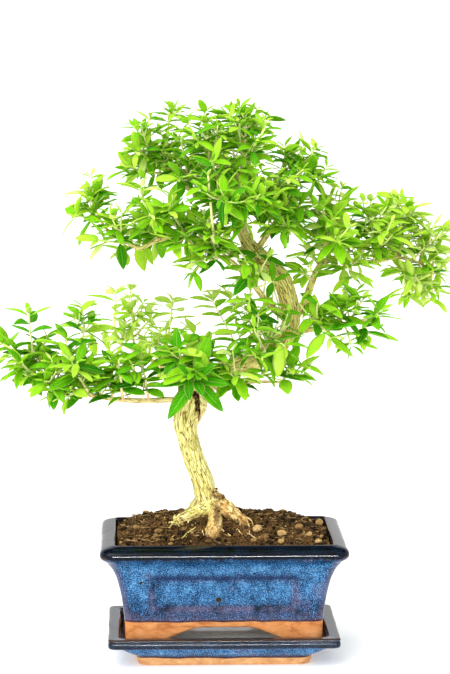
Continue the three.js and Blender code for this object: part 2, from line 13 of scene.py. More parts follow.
import bmesh
import bpy
import numpy as np
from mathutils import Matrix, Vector


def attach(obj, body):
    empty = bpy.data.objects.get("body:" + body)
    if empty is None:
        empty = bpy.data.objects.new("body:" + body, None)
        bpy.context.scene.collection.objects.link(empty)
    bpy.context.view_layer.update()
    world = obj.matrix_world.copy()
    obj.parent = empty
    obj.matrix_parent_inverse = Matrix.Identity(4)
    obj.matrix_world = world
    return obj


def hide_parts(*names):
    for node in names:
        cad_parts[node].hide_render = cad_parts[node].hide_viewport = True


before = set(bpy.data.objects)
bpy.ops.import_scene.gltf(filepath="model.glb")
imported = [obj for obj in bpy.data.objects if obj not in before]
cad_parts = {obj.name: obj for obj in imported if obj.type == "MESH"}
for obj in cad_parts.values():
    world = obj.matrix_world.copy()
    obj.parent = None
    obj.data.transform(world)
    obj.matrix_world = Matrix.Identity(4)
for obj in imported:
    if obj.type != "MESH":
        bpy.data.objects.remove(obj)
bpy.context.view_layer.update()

MM = 0.001
UP = np.array([0.0, 0.0, 1.0])


def add_object(name, data, facing=None):
    """A new object in the scene, turned to look along `facing` where that is given."""
    made = bpy.data.objects.new(name, data)
    bpy.context.scene.collection.objects.link(made)
    if facing:
        made.rotation_euler = Vector(facing).to_track_quat("-Z", "Y").to_euler()
    return made


# ---------------- camera

# The photo's camera, fitted to the corners of the pot and the tray: metres, radians, and a lens in
# millimetres.
CAMERA_PLACE = (-0.07233, -2.40324, 0.5667)
CAMERA_YAW = 0.0310
CAMERA_PITCH = -0.1267
CAMERA_LENS = 159.18


def make_camera():
    data = bpy.data.cameras.new("camera")
    data.sensor_width = 36
    data.lens = CAMERA_LENS
    data.clip_start, data.clip_end = 0.1, 200
    level = math.cos(CAMERA_PITCH)
    facing = (math.sin(CAMERA_YAW) * level, math.cos(CAMERA_YAW) * level, math.sin(CAMERA_PITCH))
    camera = add_object("camera", data, facing)
    camera.location = CAMERA_PLACE
    bpy.context.scene.camera = camera


make_camera()


# ---------------- numbers, curves and noise

def unit(v):
    v = np.asarray(v, float)
    return v / max(np.linalg.norm(v), 1e-9)


def smoothstep(low, high, x):
    t = np.clip((np.asarray(x, float) - low) / (high - low), 0, 1)
    return t * t * (3 - 2 * t)


def hashed(x, y, z, seed):
    """Repeatable numbers from -1 to 1 for whole-number cells."""
    h = (x * 374761393 + y * 668265263 + z * 2147483647 + seed * 1274126177) & 0xFFFFFFFF
    h = ((h ^ (h >> 13)) * 1274126177) & 0xFFFFFFFF
    return ((h ^ (h >> 16)) & 0xFFFF) / 32767.5 - 1


def noise(points, size, seed=0):
    """Smooth noise from -1 to 1 with lumps of the given size, one number or one for each axis."""
    q = np.asarray(points, float) / size
    cell = np.floor(q).astype(np.int64)
    f = q - cell
    f = f * f * (3 - 2 * f)
    total = np.zeros(len(q))
    for corner in range(8):
        step = np.array([corner & 1, corner >> 1 & 1, corner >> 2])
        weight = np.prod(np.where(step, f, 1 - f), axis=1)
        total += weight * hashed(*(cell + step).T, seed)
    return total


def smooth_curve(points, step):
    """Points about `step` apart on a centripetal Catmull-Rom curve. Columns past z go along."""
    per_stretch = 14
    p = np.asarray(points, float)
    ends = np.vstack([2 * p[0] - p[1], p, 2 * p[-1] - p[-2]])
    dense = []
    for i in range(len(p) - 1):
        a, b, c, d = ends[i:i + 4]
        stretches = (b - a, c - b, d - c)
        d0, d1, d2 = (max(np.linalg.norm(stretch[:3]) ** 0.5, 1e-4) for stretch in stretches)
        t1 = ((b - a) / d0 - (c - a) / (d0 + d1) + (c - b) / d1) * d1
        t2 = ((c - b) / d1 - (d - b) / (d1 + d2) + (d - c) / d2) * d1
        t = np.arange(per_stretch)[:, None] / per_stretch
        squared, cubed = -3 * b + 3 * c - 2 * t1 - t2, 2 * b - 2 * c + t1 + t2
        dense.append(b + t1 * t + squared * t ** 2 + cubed * t ** 3)
    dense = np.vstack(dense + [p[-1:]])
    return resampled(dense, step)


def lengths_along(path):
    return np.concatenate([[0], np.cumsum(np.linalg.norm(np.diff(path[:, :3], axis=0), axis=1))])


def resampled(path, step):
    s = lengths_along(path)
    t = np.linspace(0, s[-1], max(2, int(round(s[-1] / step))) + 1)
    return np.stack([np.interp(t, s, column) for column in path.T], axis=1)


def place_on(path, distance):
    """The point and the direction of a path at a distance from its start."""
    s = lengths_along(path)
    at = np.array([np.interp(distance, s, path[:, c]) for c in range(3)])
    i = int(np.clip(np.searchsorted(s, distance), 1, len(path) - 1))
    return at, unit(path[i, :3] - path[i - 1, :3])


def path_frames(path):
    """Each point's direction and two directions across it, which turn as little as possible."""
    along = np.gradient(path[:, :3], axis=0)
    along /= np.linalg.norm(along, axis=1)[:, None]
    side = np.empty_like(along)
    start = np.array([0, -1.0, 0]) if abs(along[0][1]) < 0.9 else np.array([1.0, 0, 0])
    for i, t in enumerate(along):
        previous = start if i == 0 else side[i - 1]
        side[i] = unit(previous - t * previous.dot(t))
    return along, side, np.cross(along, side)


# ---------------- meshes

class Shape:
    """Vertices in millimetres, quads and triangles, with one number or vector per vertex by name."""

    def __init__(self):
        self.verts, self.values = [], {}
        self.faces, self.slots = {4: [], 3: []}, {4: [], 3: []}
        self.count = 0

    def add(self, verts, quads=(), tris=(), material=0, **values):
        self.verts.append(np.asarray(verts, float))
        for sides, faces in ((4, quads), (3, tris)):
            faces = np.asarray(faces, int).reshape(-1, sides)
            self.faces[sides].append(faces + self.count)
            self.slots[sides].append(np.full(len(faces), material))
        for name, value in values.items():
            value = np.asarray(value, float)
            if value.ndim == 0:
                value = np.full(len(verts), float(value))
            self.values.setdefault(name, []).append(value)
        self.count += len(verts)

    def mesh(self, name):
        verts, quads, tris = (np.vstack(rows) for rows in (self.verts, self.faces[4], self.faces[3]))
        mesh = bpy.data.meshes.new(name)
        corners = np.concatenate([quads.ravel(), tris.ravel()])
        starts = np.concatenate([np.arange(len(quads)) * 4, len(quads) * 4 + np.arange(len(tris)) * 3])
        mesh.vertices.add(len(verts))
        mesh.vertices.foreach_set("co", (verts * MM).ravel())
        mesh.loops.add(len(corners))
        mesh.loops.foreach_set("vertex_index", corners)
        mesh.polygons.add(len(starts))
        mesh.polygons.foreach_set("loop_start", starts)
        mesh.polygons.foreach_set("material_index", np.concatenate(self.slots[4] + self.slots[3]))
        mesh.update(calc_edges=True)
        for key, parts in self.values.items():
            set_values(mesh, key, np.concatenate(parts))
        return mesh


def set_values(mesh, name, values):
    kind, field = ("FLOAT", "value") if values.ndim == 1 else ("FLOAT_VECTOR", "vector")
    attribute = mesh.attributes.new(name, kind, "POINT")
    attribute.data.foreach_set(field, np.ascontiguousarray(values, np.float32).ravel())


def new_object(name, mesh, materials, replaced=()):
    """A smooth-shaded piece of the object that rides on its only body."""
    piece = add_object(name, mesh)
    for material in materials:
        mesh.materials.append(material)
    mesh.shade_smooth()
    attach(piece, "root")
    if replaced:
        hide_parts(*replaced)
    return piece


def evaluated_mesh(piece):
    """A copy of the piece's mesh with its modifiers applied."""
    graph = bpy.context.evaluated_depsgraph_get()
    return bpy.data.meshes.new_from_object(piece.evaluated_get(graph))


def loft(rings):
    """The closed surface through rings of equal numbers of points, with a fan over each end."""
    rings = np.asarray(rings, float)
    count, size = rings.shape[:2]
    index = np.arange(count * size).reshape(count, size)
    turned = np.roll(index, -1, axis=1)
    quads = np.stack([index[:-1], turned[:-1], turned[1:], index[1:]], -1).reshape(-1, 4)
    low, high = count * size, count * size + 1
    verts = np.vstack([rings.reshape(-1, 3), rings[0].mean(0), rings[-1].mean(0)])
    first = np.stack([np.full(size, low), turned[0], index[0]], -1)
    last = np.stack([np.full(size, high), index[-1], turned[-1]], -1)
    return verts, quads, np.vstack([first, last])


def tube(path, sides):
    """A closed tube along a path of x, y, z and radius, with domed ends."""
    domed, narrowed = 0.55, 0.6
    along, side, top = path_frames(path)
    angle = np.arange(sides) / sides * 2 * math.pi
    circle = side[:, None] * np.cos(angle)[None, :, None] + top[:, None] * np.sin(angle)[None, :, None]
    rings = path[:, None, :3] + circle * path[:, 3][:, None, None]
    start = path[0, :3] - along[0] * path[0, 3] * domed + circle[0] * path[0, 3] * narrowed
    end = path[-1, :3] + along[-1] * path[-1, 3] * domed + circle[-1] * path[-1, 3] * narrowed
    return loft(np.vstack([start[None], rings, end[None]]))


def icosphere(subdivisions):
    ball = bmesh.new()
    bmesh.ops.create_icosphere(ball, subdivisions=subdivisions, radius=1)
    verts = np.array([v.co[:] for v in ball.verts])
    tris = np.array([[v.index for v in f.verts] for f in ball.faces])
    ball.free()
    return verts, tris


ICOSPHERES = {subdivisions: icosphere(subdivisions) for subdivisions in (1, 2, 3)}


def grain(centre, size, rng, detail):
    """A small irregular lump: a ball with its vertices pushed in and out."""
    verts, tris = ICOSPHERES[detail]
    turn = rng.random() * math.tau
    c, s = math.cos(turn), math.sin(turn)
    stretched = verts * np.array([1 + 0.3 * rng.random(), 1, 0.7 + 0.2 * rng.random()])
    pushed = stretched * (1 + 0.32 * noise(verts, 0.9, rng.randrange(10 ** 6)))[:, None]
    turned = pushed @ np.array([[c, s, 0], [-s, c, 0], [0, 0, 1]])
    return np.asarray(centre) + turned * size, (), tris


# ---------------- material building

def shader_colour(value):
    """What a shader wants for a grey from 0 to 1 or for (red, green, blue) from 0 to 255."""
    if not isinstance(value, tuple):
        return (value, value, value, 1)
    shares = [v / 255 for v in value]
    return (*(c / 12.92 if c <= 0.04045 else ((c + 0.055) / 1.055) ** 2.4 for c in shares), 1.0)


class Field:
    """The output of a node. Operators and most methods return the output of a further node."""

    def __init__(self, tree, socket):
        self.tree, self.socket = tree, socket

    def math(self, operation, other=0.0):
        return self.tree.add("Math", {0: self, 1: other}, operation=operation)

    def __add__(self, other):
        return self.math("ADD", other)

    def __sub__(self, other):
        return self.math("SUBTRACT", other)

    def __rsub__(self, other):
        return self.tree.add("Math", {0: other, 1: self}, operation="SUBTRACT")

    def __mul__(self, other):
        return self.math("MULTIPLY", other)

    def __abs__(self):
        return self.math("ABSOLUTE")

    def clamped(self):
        """The same sum, kept between 0 and 1."""
        self.socket.node.use_clamp = True
        return self

    def axis(self, letter):
        return self.tree.add("SeparateXYZ", {0: self}, letter)

    def stretched(self, *scales):
        return self.tree.add("VectorMath", {0: self, 1: scales}, operation="MULTIPLY")

    def noise(self, size, detail=2.0, roughness=0.5, distortion=0.0, output="Fac"):
        """Noise with lumps of the given size at these places."""
        looks = {"Detail": detail, "Roughness": roughness, "Distortion": distortion}
        return self.tree.add("TexNoise", {"Vector": self, "Scale": 1 / size, **looks}, output)

    def cell_edges(self, size):
        """How far these places are from the edges of irregular cells of the given size."""
        inputs = {"Vector": self, "Scale": 1 / size}
        return self.tree.add("TexVoronoi", inputs, "Distance", feature="DISTANCE_TO_EDGE")

    def step(self, low, high):
        """0 at low, 1 at high and smooth between them; high may be the lower number."""
        inputs = {"Value": self, "From Min": low, "From Max": high}
        return self.tree.add("MapRange", inputs, interpolation_type="SMOOTHSTEP")

    def ramp(self, *stops):
        """The colour or grey for each value; stops are (value, colour) pairs."""
        made = self.tree.add("ValToRGB", {0: self})
        elements = made.socket.node.color_ramp.elements
        while len(elements) < len(stops):
            elements.new(0.5)
        for element, (position, colour) in zip(elements, stops):
            element.position = position
            element.color = shader_colour(colour)
        return made

    def mix(self, a, b):
        """Colour a where this is 0 and colour b where it is 1."""
        a, b = (c if isinstance(c, Field) else shader_colour(c) for c in (a, b))
        return self.tree.add("Mix", {0: self, 6: a, 7: b}, 2, data_type="RGBA")


class Tree:
    """The nodes of a material or a world."""

    def __init__(self, owner):
        owner.use_nodes = True
        self.nodes, self.links = owner.node_tree.nodes, owner.node_tree.links

    def plug(self, socket, value):
        if isinstance(value, Field):
            self.links.new(value.socket, socket)
        else:
            socket.default_value = value

    def add(self, kind, inputs, output=0, **settings):
        """The output of a new node with these inputs and settings."""
        made = self.nodes.new("ShaderNode" + kind)
        for key, value in settings.items():
            setattr(made, key, value)
        for key, value in inputs.items():
            self.plug(made.inputs[key], value)
        return Field(self, made.outputs[output])


class Look(Tree):
    """A Principled material."""

    def __init__(self, name, **values):
        self.material = bpy.data.materials.new(name)
        super().__init__(self.material)
        self.set(**values)

    def set(self, **values):
        for name, value in values.items():
            self.plug(self.nodes["Principled BSDF"].inputs[name.replace("_", " ")], value)

    @cached_property
    def mm(self):
        """The place on the object in millimetres."""
        place = self.add("TexCoord", {}, "Object")
        return self.add("VectorMath", {0: place, "Scale": 1000}, operation="SCALE")

    def attribute(self, name, output="Fac"):
        return self.add("Attribute", {}, output, attribute_name=name)

    def bump(self, height, strength, distance):
        """Relief of a height from 0 to 1, `distance` millimetres deep."""
        inputs = {"Strength": strength, "Distance": distance * MM, "Height": height}
        self.set(Normal=self.add("Bump", inputs))


# ---------------- pot and tray outlines

CORNER_STEPS = 9

# The sunk panels: half their width on the long walls and on the end walls, and their lower and upper
# edges.
PANEL_X = 59
PANEL_Y = 34
PANEL_LOW = 45.4
PANEL_HIGH = 74
PANEL_SLOPE = 3.6       # how far the sinking starts outside a panel's outline and ends inside it


def side_places(half, panel):
    """Places from the middle of a straight side to its end, closest at the sunk panel's edge."""
    middle = np.linspace(0, panel - PANEL_SLOPE, int(panel / 4) + 1)
    edge = np.arange(panel - 2.8, panel + 2.3, 0.7)
    return np.concatenate([middle, edge, np.linspace(edge[-1], half, 5)[1:]])


def ring(half_x, half_y, radius):
    """The points of a rounded rectangle, anticlockwise from above."""
    ends = side_places(half_y - radius, PANEL_Y)
    fronts = side_places(half_x - radius, PANEL_X)
    angle = np.linspace(0, math.pi / 2, CORNER_STEPS + 2)[1:-1]
    arc_x = half_x - radius + radius * np.cos(angle)
    arc_y = half_y - radius + radius * np.sin(angle)
    quarter = np.stack([
        np.concatenate([np.full(len(ends), half_x), arc_x, fronts[::-1]]),
        np.concatenate([ends, arc_y, np.full(len(fronts), half_y)]),
    ], axis=1)
    return np.vstack([
        quarter[:-1],
        (quarter * (-1, 1))[::-1][:-1],
        (quarter * (-1, -1))[:-1],
        (quarter * (1, -1))[::-1][:-1],
    ])


def outline_walls():
    """For each ring point, whether it is on a long wall, on an end wall, and its direction out."""
    half_x, half_y, radius = 90, 65, 8
    flat = ring(half_x, half_y, radius)
    long_wall = np.abs(flat[:, 1]) > half_y - 1e-6
    end_wall = np.abs(flat[:, 0]) > half_x - 1e-6
    out = np.zeros_like(flat)
    out[long_wall, 1] = np.sign(flat[long_wall, 1])
    out[end_wall, 0] = np.sign(flat[end_wall, 0])
    corner = ~(long_wall | end_wall)
    centre = np.sign(flat[corner]) * (half_x - radius, half_y - radius)
    out[corner] = (flat[corner] - centre) / radius
    return long_wall, end_wall, out


LONG_WALL, END_WALL, OUTWARD = outline_walls()
CORNERS = (2 * np.abs(OUTWARD[:, 0] * OUTWARD[:, 1])) ** 3


def upright(flat, z):
    return np.column_stack([flat, np.broadcast_to(z, len(flat))])


def uneven(points, amount, seed):
    """Points moved sideways a little, as hand-finished clay is."""
    shift = amount * (0.7 * noise(points, 24, seed) + 0.3 * noise(points, 7, seed + 1))
    moved = points.copy()
    moved[:, :2] += OUTWARD * shift[:, None]
    moved[:, 2] += 0.4 * amount * noise(points, 30, seed + 2)
    return moved


# ---------------- glaze and clay

def glaze_look(name, foot_line, lip_line, fade, gloss, shine, lip_tints, clay_tints):
    """Speckled blue glaze that breaks brown at edges and stops above the bare clay of the foot."""
    look = Look(name, Specular_IOR_Level=shine)
    mm = look.mm
    z = mm.axis("Z")
    edge, border = look.attribute("edge"), look.attribute("border")
    run = mm.stretched(1, 1, 0.16).noise(4.2, 3, 0.6)
    blotch = mm.noise(15, 3, 0.55)
    fine = (mm.noise(0.76, 2, 0.62, 0.3) - 0.5) * 1.35 + 0.5
    patch = mm.noise(5)

    def centred(value, gain):
        return (value - 0.5) * gain

    def under_pot(half_x, half_y, soft):
        """1 inside a rectangle under the pot and 0 outside it."""
        inside = abs(mm.axis("X")).step(half_x + soft, half_x)
        return inside * abs(mm.axis("Y")).step(half_y + soft, half_y)

    # how much of the navy glass the pale flecks cover
    above_foot = z.step(foot_line, foot_line + fade)
    rising = z + centred(run, 0.6 * fade)
    below_lip = 1 - rising.step(lip_line - 0.35 * fade, lip_line + 0.02 * fade)
    cover = above_foot * below_lip * 0.5
    for value, gain in ((run, 0.75), (blotch, 0.9), (patch, 0.5)):
        cover = cover + centred(value, gain)
    cover = cover - (edge + border) * 0.4
    glass = (fine + cover * 0.34).ramp(
        (0.42, (8, 20, 34)), (0.54, (18, 48, 80)), (0.64, (40, 88, 138)), (0.75, (68, 128, 180)),
        (0.9, (116, 178, 220)),
    )

    # purple brown where the glaze is thin: near its lower end, on corners and at the panel's rim
    low = 1 - (z + centred(patch, 0.35 * fade)).step(foot_line, foot_line + 0.42 * fade)
    lower_border = border * (1 - z.step(69, 73)) * blotch.step(0.36, 0.6)
    thin = edge * 0.75 + low * 0.6 + lower_border * 0.85
    thin = (thin + mm.noise(22).step(0.6, 0.74) * 0.5).clamped()
    brown = fine.ramp((0.3, (50, 34, 48)), (0.52, (98, 84, 112)), (0.7, (118, 140, 184)))
    body = (thin * 0.8).mix(glass, brown)

    # painted shadow: dark navy along the panel's upper rim, where the wall above overhangs the sunk panel
    # and shades it
    body = (border * z.step(70, 73.5) * 0.7).mix(body, (18, 34, 78))

    # nearly black lip
    lip = (z + centred(run, 0.23 * fade)).step(lip_line - 0.8, lip_line + 1.0)
    rim = (fine + centred(blotch, 0.3)).step(0.54, 0.8).mix(*lip_tints)
    rim = (edge.step(0.4, 0.85) * 0.85).mix(rim, (58, 38, 18))
    body = lip.mix(body, rim)

    # painted reflection: the glaze under the pot painted near white, standing in for the white studio that
    # the tray's floor reflects through the arches
    painted_reflection_under_pot = under_pot(73, 47, 4) * z.math("LESS_THAN", 18.6)
    body = painted_reflection_under_pot.mix(body, patch.ramp((0.3, (226, 232, 238)), (0.7, (250, 250, 250))))

    # bare clay, with a dark seam along the glaze's wavy lower end
    height = z + centred(mm.noise(16), 2.4)
    seam = height.step(foot_line - 1.2, foot_line - 0.5) * (
        1 - height.step(foot_line + 0.7, foot_line + 1.9)
    )
    body = (seam * 0.8).mix(body, (66, 34, 26))
    sand = mm.noise(0.6, 3, 0.7)
    smear = mm.stretched(0.5, 0.5, 1).noise(5, 3, 0.5, 0.6)
    clay = smear.ramp(*zip((0.28, 0.46, 0.62, 0.8), clay_tints))
    clay = (sand.step(0.55, 0.75) * 0.5).mix(clay, clay_tints[0])
    # painted light: the bare clay of the recess under the pot painted near white, so that the view through
    # the arches looks brighter
    clay = (under_pot(70, 43, 2) * z.step(17, 18)).mix(clay, (244, 236, 222))
    glazed = height.step(foot_line - 0.5, foot_line + 0.1)
    look.set(Base_Color=glazed.mix(clay, body), Roughness=glazed.ramp((0, 0.85), (1, gloss)))
    look.bump(glazed.mix(sand, centred(mm.noise(6, 1), 0.14)), 0.6, 0.2)
    return look.material


# ---------------- pot

POT_HALF = (100, 74.5)
POT_FOOT_Z = 18.3
POT_UNDERSIDE = 31.5
GLAZE_LINE = 36
DRAIN_HOLES = [(-36, 0), (36, 0)]
DRAIN_RADIUS = 7

# The foot ring: half sizes and corner radius of its inside and of the recess's ceiling, how far its
# outside stands in from the lip, how wide its underside is, and how far its edges are rounded.
RECESS_WALL = (70.4, 42.84, 5)
RECESS_CEILING = (69.4, 41.8, 5)
FOOT_INSET = 20.6
FOOT_WIDTH = 9
FOOT_BEVEL = 0.7

# How far from its wall's middle an arch ends, and how far its flat top reaches.
LONG_ARCH = (61, 17)
END_ARCH = (31, 15)

# The outside wall from the glaze line to the lip, the lip, and the inside wall down to the floor:
# how far each place stands in from the lip, its height and its corner radius.
POT_WALL = [
    (20, 36, 8), (18.8, 45.4, 8), (16.9, 57.7, 8), (14.6, 67.6, 9), (12.7, 74, 9), (9.6, 80.5, 10),
    (6.6, 84.6, 11), (4.6, 86.8, 12), (2.6, 88.4, 12), (1.1, 89.8, 12), (0.3, 91.2, 12), (0, 92.6, 12),
]
POT_LIP = [
    (0.02, 93.4, 12), (0.15, 94.3, 12), (0.5, 95.3, 11.8), (1.1, 96.3, 11.4), (2, 97.2, 10.8),
    (3.2, 98, 10), (5, 98.75, 9), (7.2, 99.4, 8), (9.2, 99.9, 6.6), (10.6, 100.25, 5.6),
    (11.4, 100.3, 5.2), (12.1, 100.05, 4.9), (12.6, 99.5, 4.8), (12.9, 98.7, 4.8),
]
POT_INSIDE = [
    (13.2, 96.5, 5), (14, 91, 5), (17.6, 74, 5), (21.8, 56, 5), (25.6, 39.8, 5), (26.4, 38, 5),
    (28, 37.5, 5),
]


def pot_ring(inset, radius):
    """The pot's outline at an inset from the lip; the long walls lean in a tenth more."""
    return ring(POT_HALF[0] - inset, POT_HALF[1] - inset * 1.1, radius)


def profile_curve(profile, step):
    """A smooth curve through a profile's places, as rows of height, inset and corner radius."""
    return smooth_curve([(z, 0, 0, inset, radius) for inset, z, radius in profile], step)[:, [0, 3, 4]]


def across_wall(flat):
    """How far each ring point is from the middle of its wall."""
    return np.where(LONG_WALL, np.abs(flat[:, 0]), np.abs(flat[:, 1]))


def arch_height(flat):
    """How high the foot's lower edge is at each ring point: feet at the corners, arches between."""
    across = across_wall(flat)
    end_arch = np.where(END_WALL, smoothstep(*END_ARCH, across), 0)
    lift = np.where(LONG_WALL, smoothstep(*LONG_ARCH, across), end_arch)
    return POT_FOOT_Z + lift * (POT_UNDERSIDE - 0.3 - POT_FOOT_Z)


def panel_depth(flat, z):
    """How far inside the sunk panel's outline each ring point is; negative outside."""
    middle, half_z = (PANEL_LOW + PANEL_HIGH) / 2, (PANEL_HIGH - PANEL_LOW) / 2
    round_by = 4
    dx = across_wall(flat) - np.where(LONG_WALL, PANEL_X, PANEL_Y) + round_by
    dz = abs(z - middle) - half_z + round_by
    outside = np.hypot(np.maximum(dx, 0), np.maximum(dz, 0)) + np.minimum(np.maximum(dx, dz), 0) - round_by
    return np.where(LONG_WALL | END_WALL, -outside, -9.0)


def bell(value, middle, width):
    """1 at the middle and fading to 0 on both sides of it."""
    return math.exp(-((value - middle) / width) ** 2)


def make_pot():
    rings, edges, borders = [], [], []

    def put(flat, z, edge=0.0, border=0.0, wobble=0.3):
        rings.append(uneven(upright(flat, z), wobble, 3))
        edges.append(np.broadcast_to(edge, len(flat)))
        borders.append(np.broadcast_to(border, len(flat)))

    # the recess's ceiling, then the foot's inside, underside and outside
    put(ring(*RECESS_CEILING), POT_UNDERSIDE, wobble=0)
    inner = ring(*RECESS_WALL)
    inner_z = arch_height(inner)
    for share in (0.0, 0.35, 0.7, 1.0):
        put(inner, POT_UNDERSIDE - share * (POT_UNDERSIDE - inner_z - FOOT_BEVEL * 0.3), wobble=0)
    for inset in (FOOT_WIDTH - FOOT_BEVEL, FOOT_WIDTH * 0.5, FOOT_BEVEL):
        flat = pot_ring(FOOT_INSET + inset, 8 - inset * 0.3)
        put(flat, arch_height(flat), wobble=0)
    for share in (0.04, 0.15, 0.35, 0.6, 0.85):
        flat = pot_ring(FOOT_INSET - 0.6 * share, 8)
        low = arch_height(flat) + FOOT_BEVEL
        put(flat, low + share * (GLAZE_LINE - low), wobble=0.3 * share)

    # the wall with its sunk panels, the lip and the inside
    wall = profile_curve(POT_WALL, 1.0)
    panel_rims = [np.arange(edge - 2, edge + 2.4, 0.5) for edge in (PANEL_LOW, PANEL_HIGH)]
    for z in np.unique(np.round(np.concatenate([wall[:, 0], *panel_rims]), 1)):
        inset, radius = (np.interp(z, wall[:, 0], column) for column in wall.T[1:])
        flat = pot_ring(inset, radius)
        inside = panel_depth(flat, z)
        thick_glaze = 0.5 * bell(z, GLAZE_LINE + 1.3, 0.7)
        sink = smoothstep(-PANEL_SLOPE, PANEL_SLOPE, inside) - thick_glaze
        border = np.exp(-((inside - 1.2) / 3.0) ** 2)
        put(flat - OUTWARD * sink[:, None], z, 0.8 * CORNERS, border)
    for inset, z, radius in POT_LIP:
        outer_edge, inner_edge = 0.4 * bell(z, 90.4, 0.8), bell(inset, 11.6, 1.0)
        put(pot_ring(inset, radius), z, min(1, outer_edge + inner_edge))
    for z, inset, radius in profile_curve(POT_INSIDE, 3):
        put(pot_ring(inset, radius), z, 0.5)

    shape = Shape()
    ends = [0, 0]
    edge, border = np.concatenate([*edges, ends]), np.concatenate([*borders, ends])
    shape.add(*loft(rings), edge=edge, border=border)
    glaze = glaze_look(
        "blue_pot_glaze", foot_line=GLAZE_LINE, lip_line=90.8, fade=26, gloss=0.09, shine=0.14,
        lip_tints=((2, 4, 3), (26, 54, 96)),
        clay_tints=((164, 94, 44), (200, 128, 68), (212, 144, 84), (226, 168, 112)),
    )
    pot = new_object("pot_body", shape.mesh("pot_body"), [glaze], ["pot"])
    cut_holes(pot, DRAIN_HOLES, DRAIN_RADIUS, low=POT_UNDERSIDE - 5.5, high=POT_UNDERSIDE + 13.5)


def cut_holes(piece, places, radius, low, high):
    """Upright round holes through a piece."""
    sides = 40
    angle = np.arange(sides) / sides * math.tau
    circle = np.stack([np.cos(angle), np.sin(angle)], 1) * radius
    cutter_shape = Shape()
    for place in places:
        cutter_shape.add(*loft([upright(circle + place, z) for z in (low, high)]))
    cutter = add_object("cutter", cutter_shape.mesh("cutter"))
    modifier = piece.modifiers.new("holes", "BOOLEAN")
    modifier.object = cutter
    modifier.operation = "DIFFERENCE"
    modifier.solver = "EXACT"
    uncut, piece.data = piece.data, evaluated_mesh(piece)
    piece.modifiers.clear()
    bpy.data.meshes.remove(uncut)
    bpy.data.objects.remove(cutter)


make_pot()


# ---------------- tray

TRAY_HALF = (93.5, 66)
TRAY_RIM_LOW = 16

# From the recess under the base, round the base, up under the rim, over it and down to the floor:
# inset, height and corner radius.
TRAY_PROFILE = [
    (32, 10, 6), (31, 10, 6), (31, 6, 6), (31, 0.5, 6), (30.5, 0, 6), (26, 0, 8), (25, 0.2, 8),
    (24.4, 0.8, 8), (23.4, 3, 9), (22.8, 5, 9), (22.4, 6.4, 9), (21.6, 7.2, 9.4), (19.8, 8.2, 10),
    (17, 9.6, 10), (14.4, 11, 10), (12.4, 12.2, 10), (10.8, 13.4, 9.4), (9.4, 14.6, 8.6),
    (8.2, 15.5, 8), (6, 15.9, 6.8), (3, 16, 5.8), (1.3, 16.2, 5), (0.55, 16.6, 5), (0.15, 17.4, 5),
    (0, 19, 5), (0.05, 20, 5), (0.25, 20.8, 5), (0.75, 21.2, 5), (0.75, 21.5, 5), (0.3, 21.9, 5),
    (0.05, 22.4, 5), (0.05, 23, 5), (0.4, 23.6, 5), (1.1, 24, 5), (2.2, 24.1, 5), (4.6, 23.9, 5),
    (7.6, 23.9, 5), (8.8, 23.8, 5), (9.6, 23.2, 5), (10.2, 22, 5), (11.2, 19.6, 5), (11.8, 18.4, 5),
    (12.8, 18, 5), (30, 18, 5),
]


def make_tray():
    shape = Shape()
    rings, edges = [], []
    for inset, z, radius in TRAY_PROFILE:
        # the base reaches further to the front and back than to the sides
        front_inset = inset * 0.62 if z < TRAY_RIM_LOW and inset < 31 else inset
        flat = ring(TRAY_HALF[0] - inset, TRAY_HALF[1] - front_inset, radius)
        rings.append(uneven(upright(flat, z), 0.35 if z > 2 else 0.0, 40))
        outer_edges = (bell(z, 23.6, 1.0) + 0.6 * bell(z, 17.2, 0.8)) * (inset < 3)
        inner_edge = 0.7 * (9 < inset < 12 and z > 18.2)
        edges.append(np.full(len(flat), max(outer_edges, inner_edge)))
    shape.add(*loft(rings), edge=np.concatenate([*edges, [0, 0]]), border=0.0)
    glaze = glaze_look(
        "blue_tray_glaze", foot_line=6.2, lip_line=16.4, fade=4.5, gloss=0.07, shine=0.2,
        lip_tints=((16, 26, 40), (66, 92, 128)),
        clay_tints=((198, 138, 82), (218, 158, 98), (232, 178, 118), (242, 200, 148)),
    )
    new_object("tray_body", shape.mesh("tray_body"), [glaze], ["drip_tray"])


make_tray()


# ---------------- soil

SOIL_RIM = 96
MOUND_HEIGHT = 19


def soil_height(x, y):
    """The smooth height of the mound at a place."""
    mound = np.exp(-(((x + 4) / 84) ** 4)) * np.exp(-(((y - 5) / 52) ** 2))
    ripple = np.sin(0.31 * x + 0.17 * y) * np.cos(0.27 * y - 0.11 * x)
    return SOIL_RIM + MOUND_HEIGHT * mound + ripple


def soil_look():
    look = Look("potting_soil", Specular_IOR_Level=0.12)
    mm = look.mm
    mottled = mm.noise(1.4, 4, 0.65) * 0.7 + look.attribute("tone") * 0.5
    colour = mottled.ramp(
        (0.32, (16, 10, 4)), (0.45, (52, 36, 18)), (0.61, (110, 80, 44)), (0.8, (184, 148, 92)),
        (0.98, (226, 196, 144)),
    )
    look.set(Base_Color=colour, Roughness=mm.noise(3).ramp((0.3, 0.8), (0.7, 0.98)))
    look.bump(mm.noise(0.6, 4, 0.7), 0.9, 0.35)
    return look.material


SOIL_LOOK = soil_look()

# Each pebble's place, size and tone.
PEBBLES = [
    (27, -35, 4.2, 1.0), (46.4, -37, 3.6, 0.9), (45.8, -51, 2.8, 0.85), (69.7, -38, 3.6, 0.85),
    (62, -20, 2.8, 0.7), (33, -44, 2.6, 0.55), (-52, -34, 3, 0.6), (-70, -20, 2.6, 0.7),
    (80, 10, 3, 0.8), (-62, 30, 3.2, 0.7), (12, 46, 3, 0.6), (52, 38, 3.4, 0.75),
    (-30, 50, 2.8, 0.8), (76, -46, 2.4, 0.95), (-78, -44, 2.2, 0.5),
]

# The soil's sides from its underside up, by half sizes and height, and the half sizes of its top.
SOIL_SIDES = [(72, 46, 38), (78.4, 49.6, 56), (84.4, 57, 86)]
SOIL_TOP = (86.2, 59)
SOIL_CORNER = 5

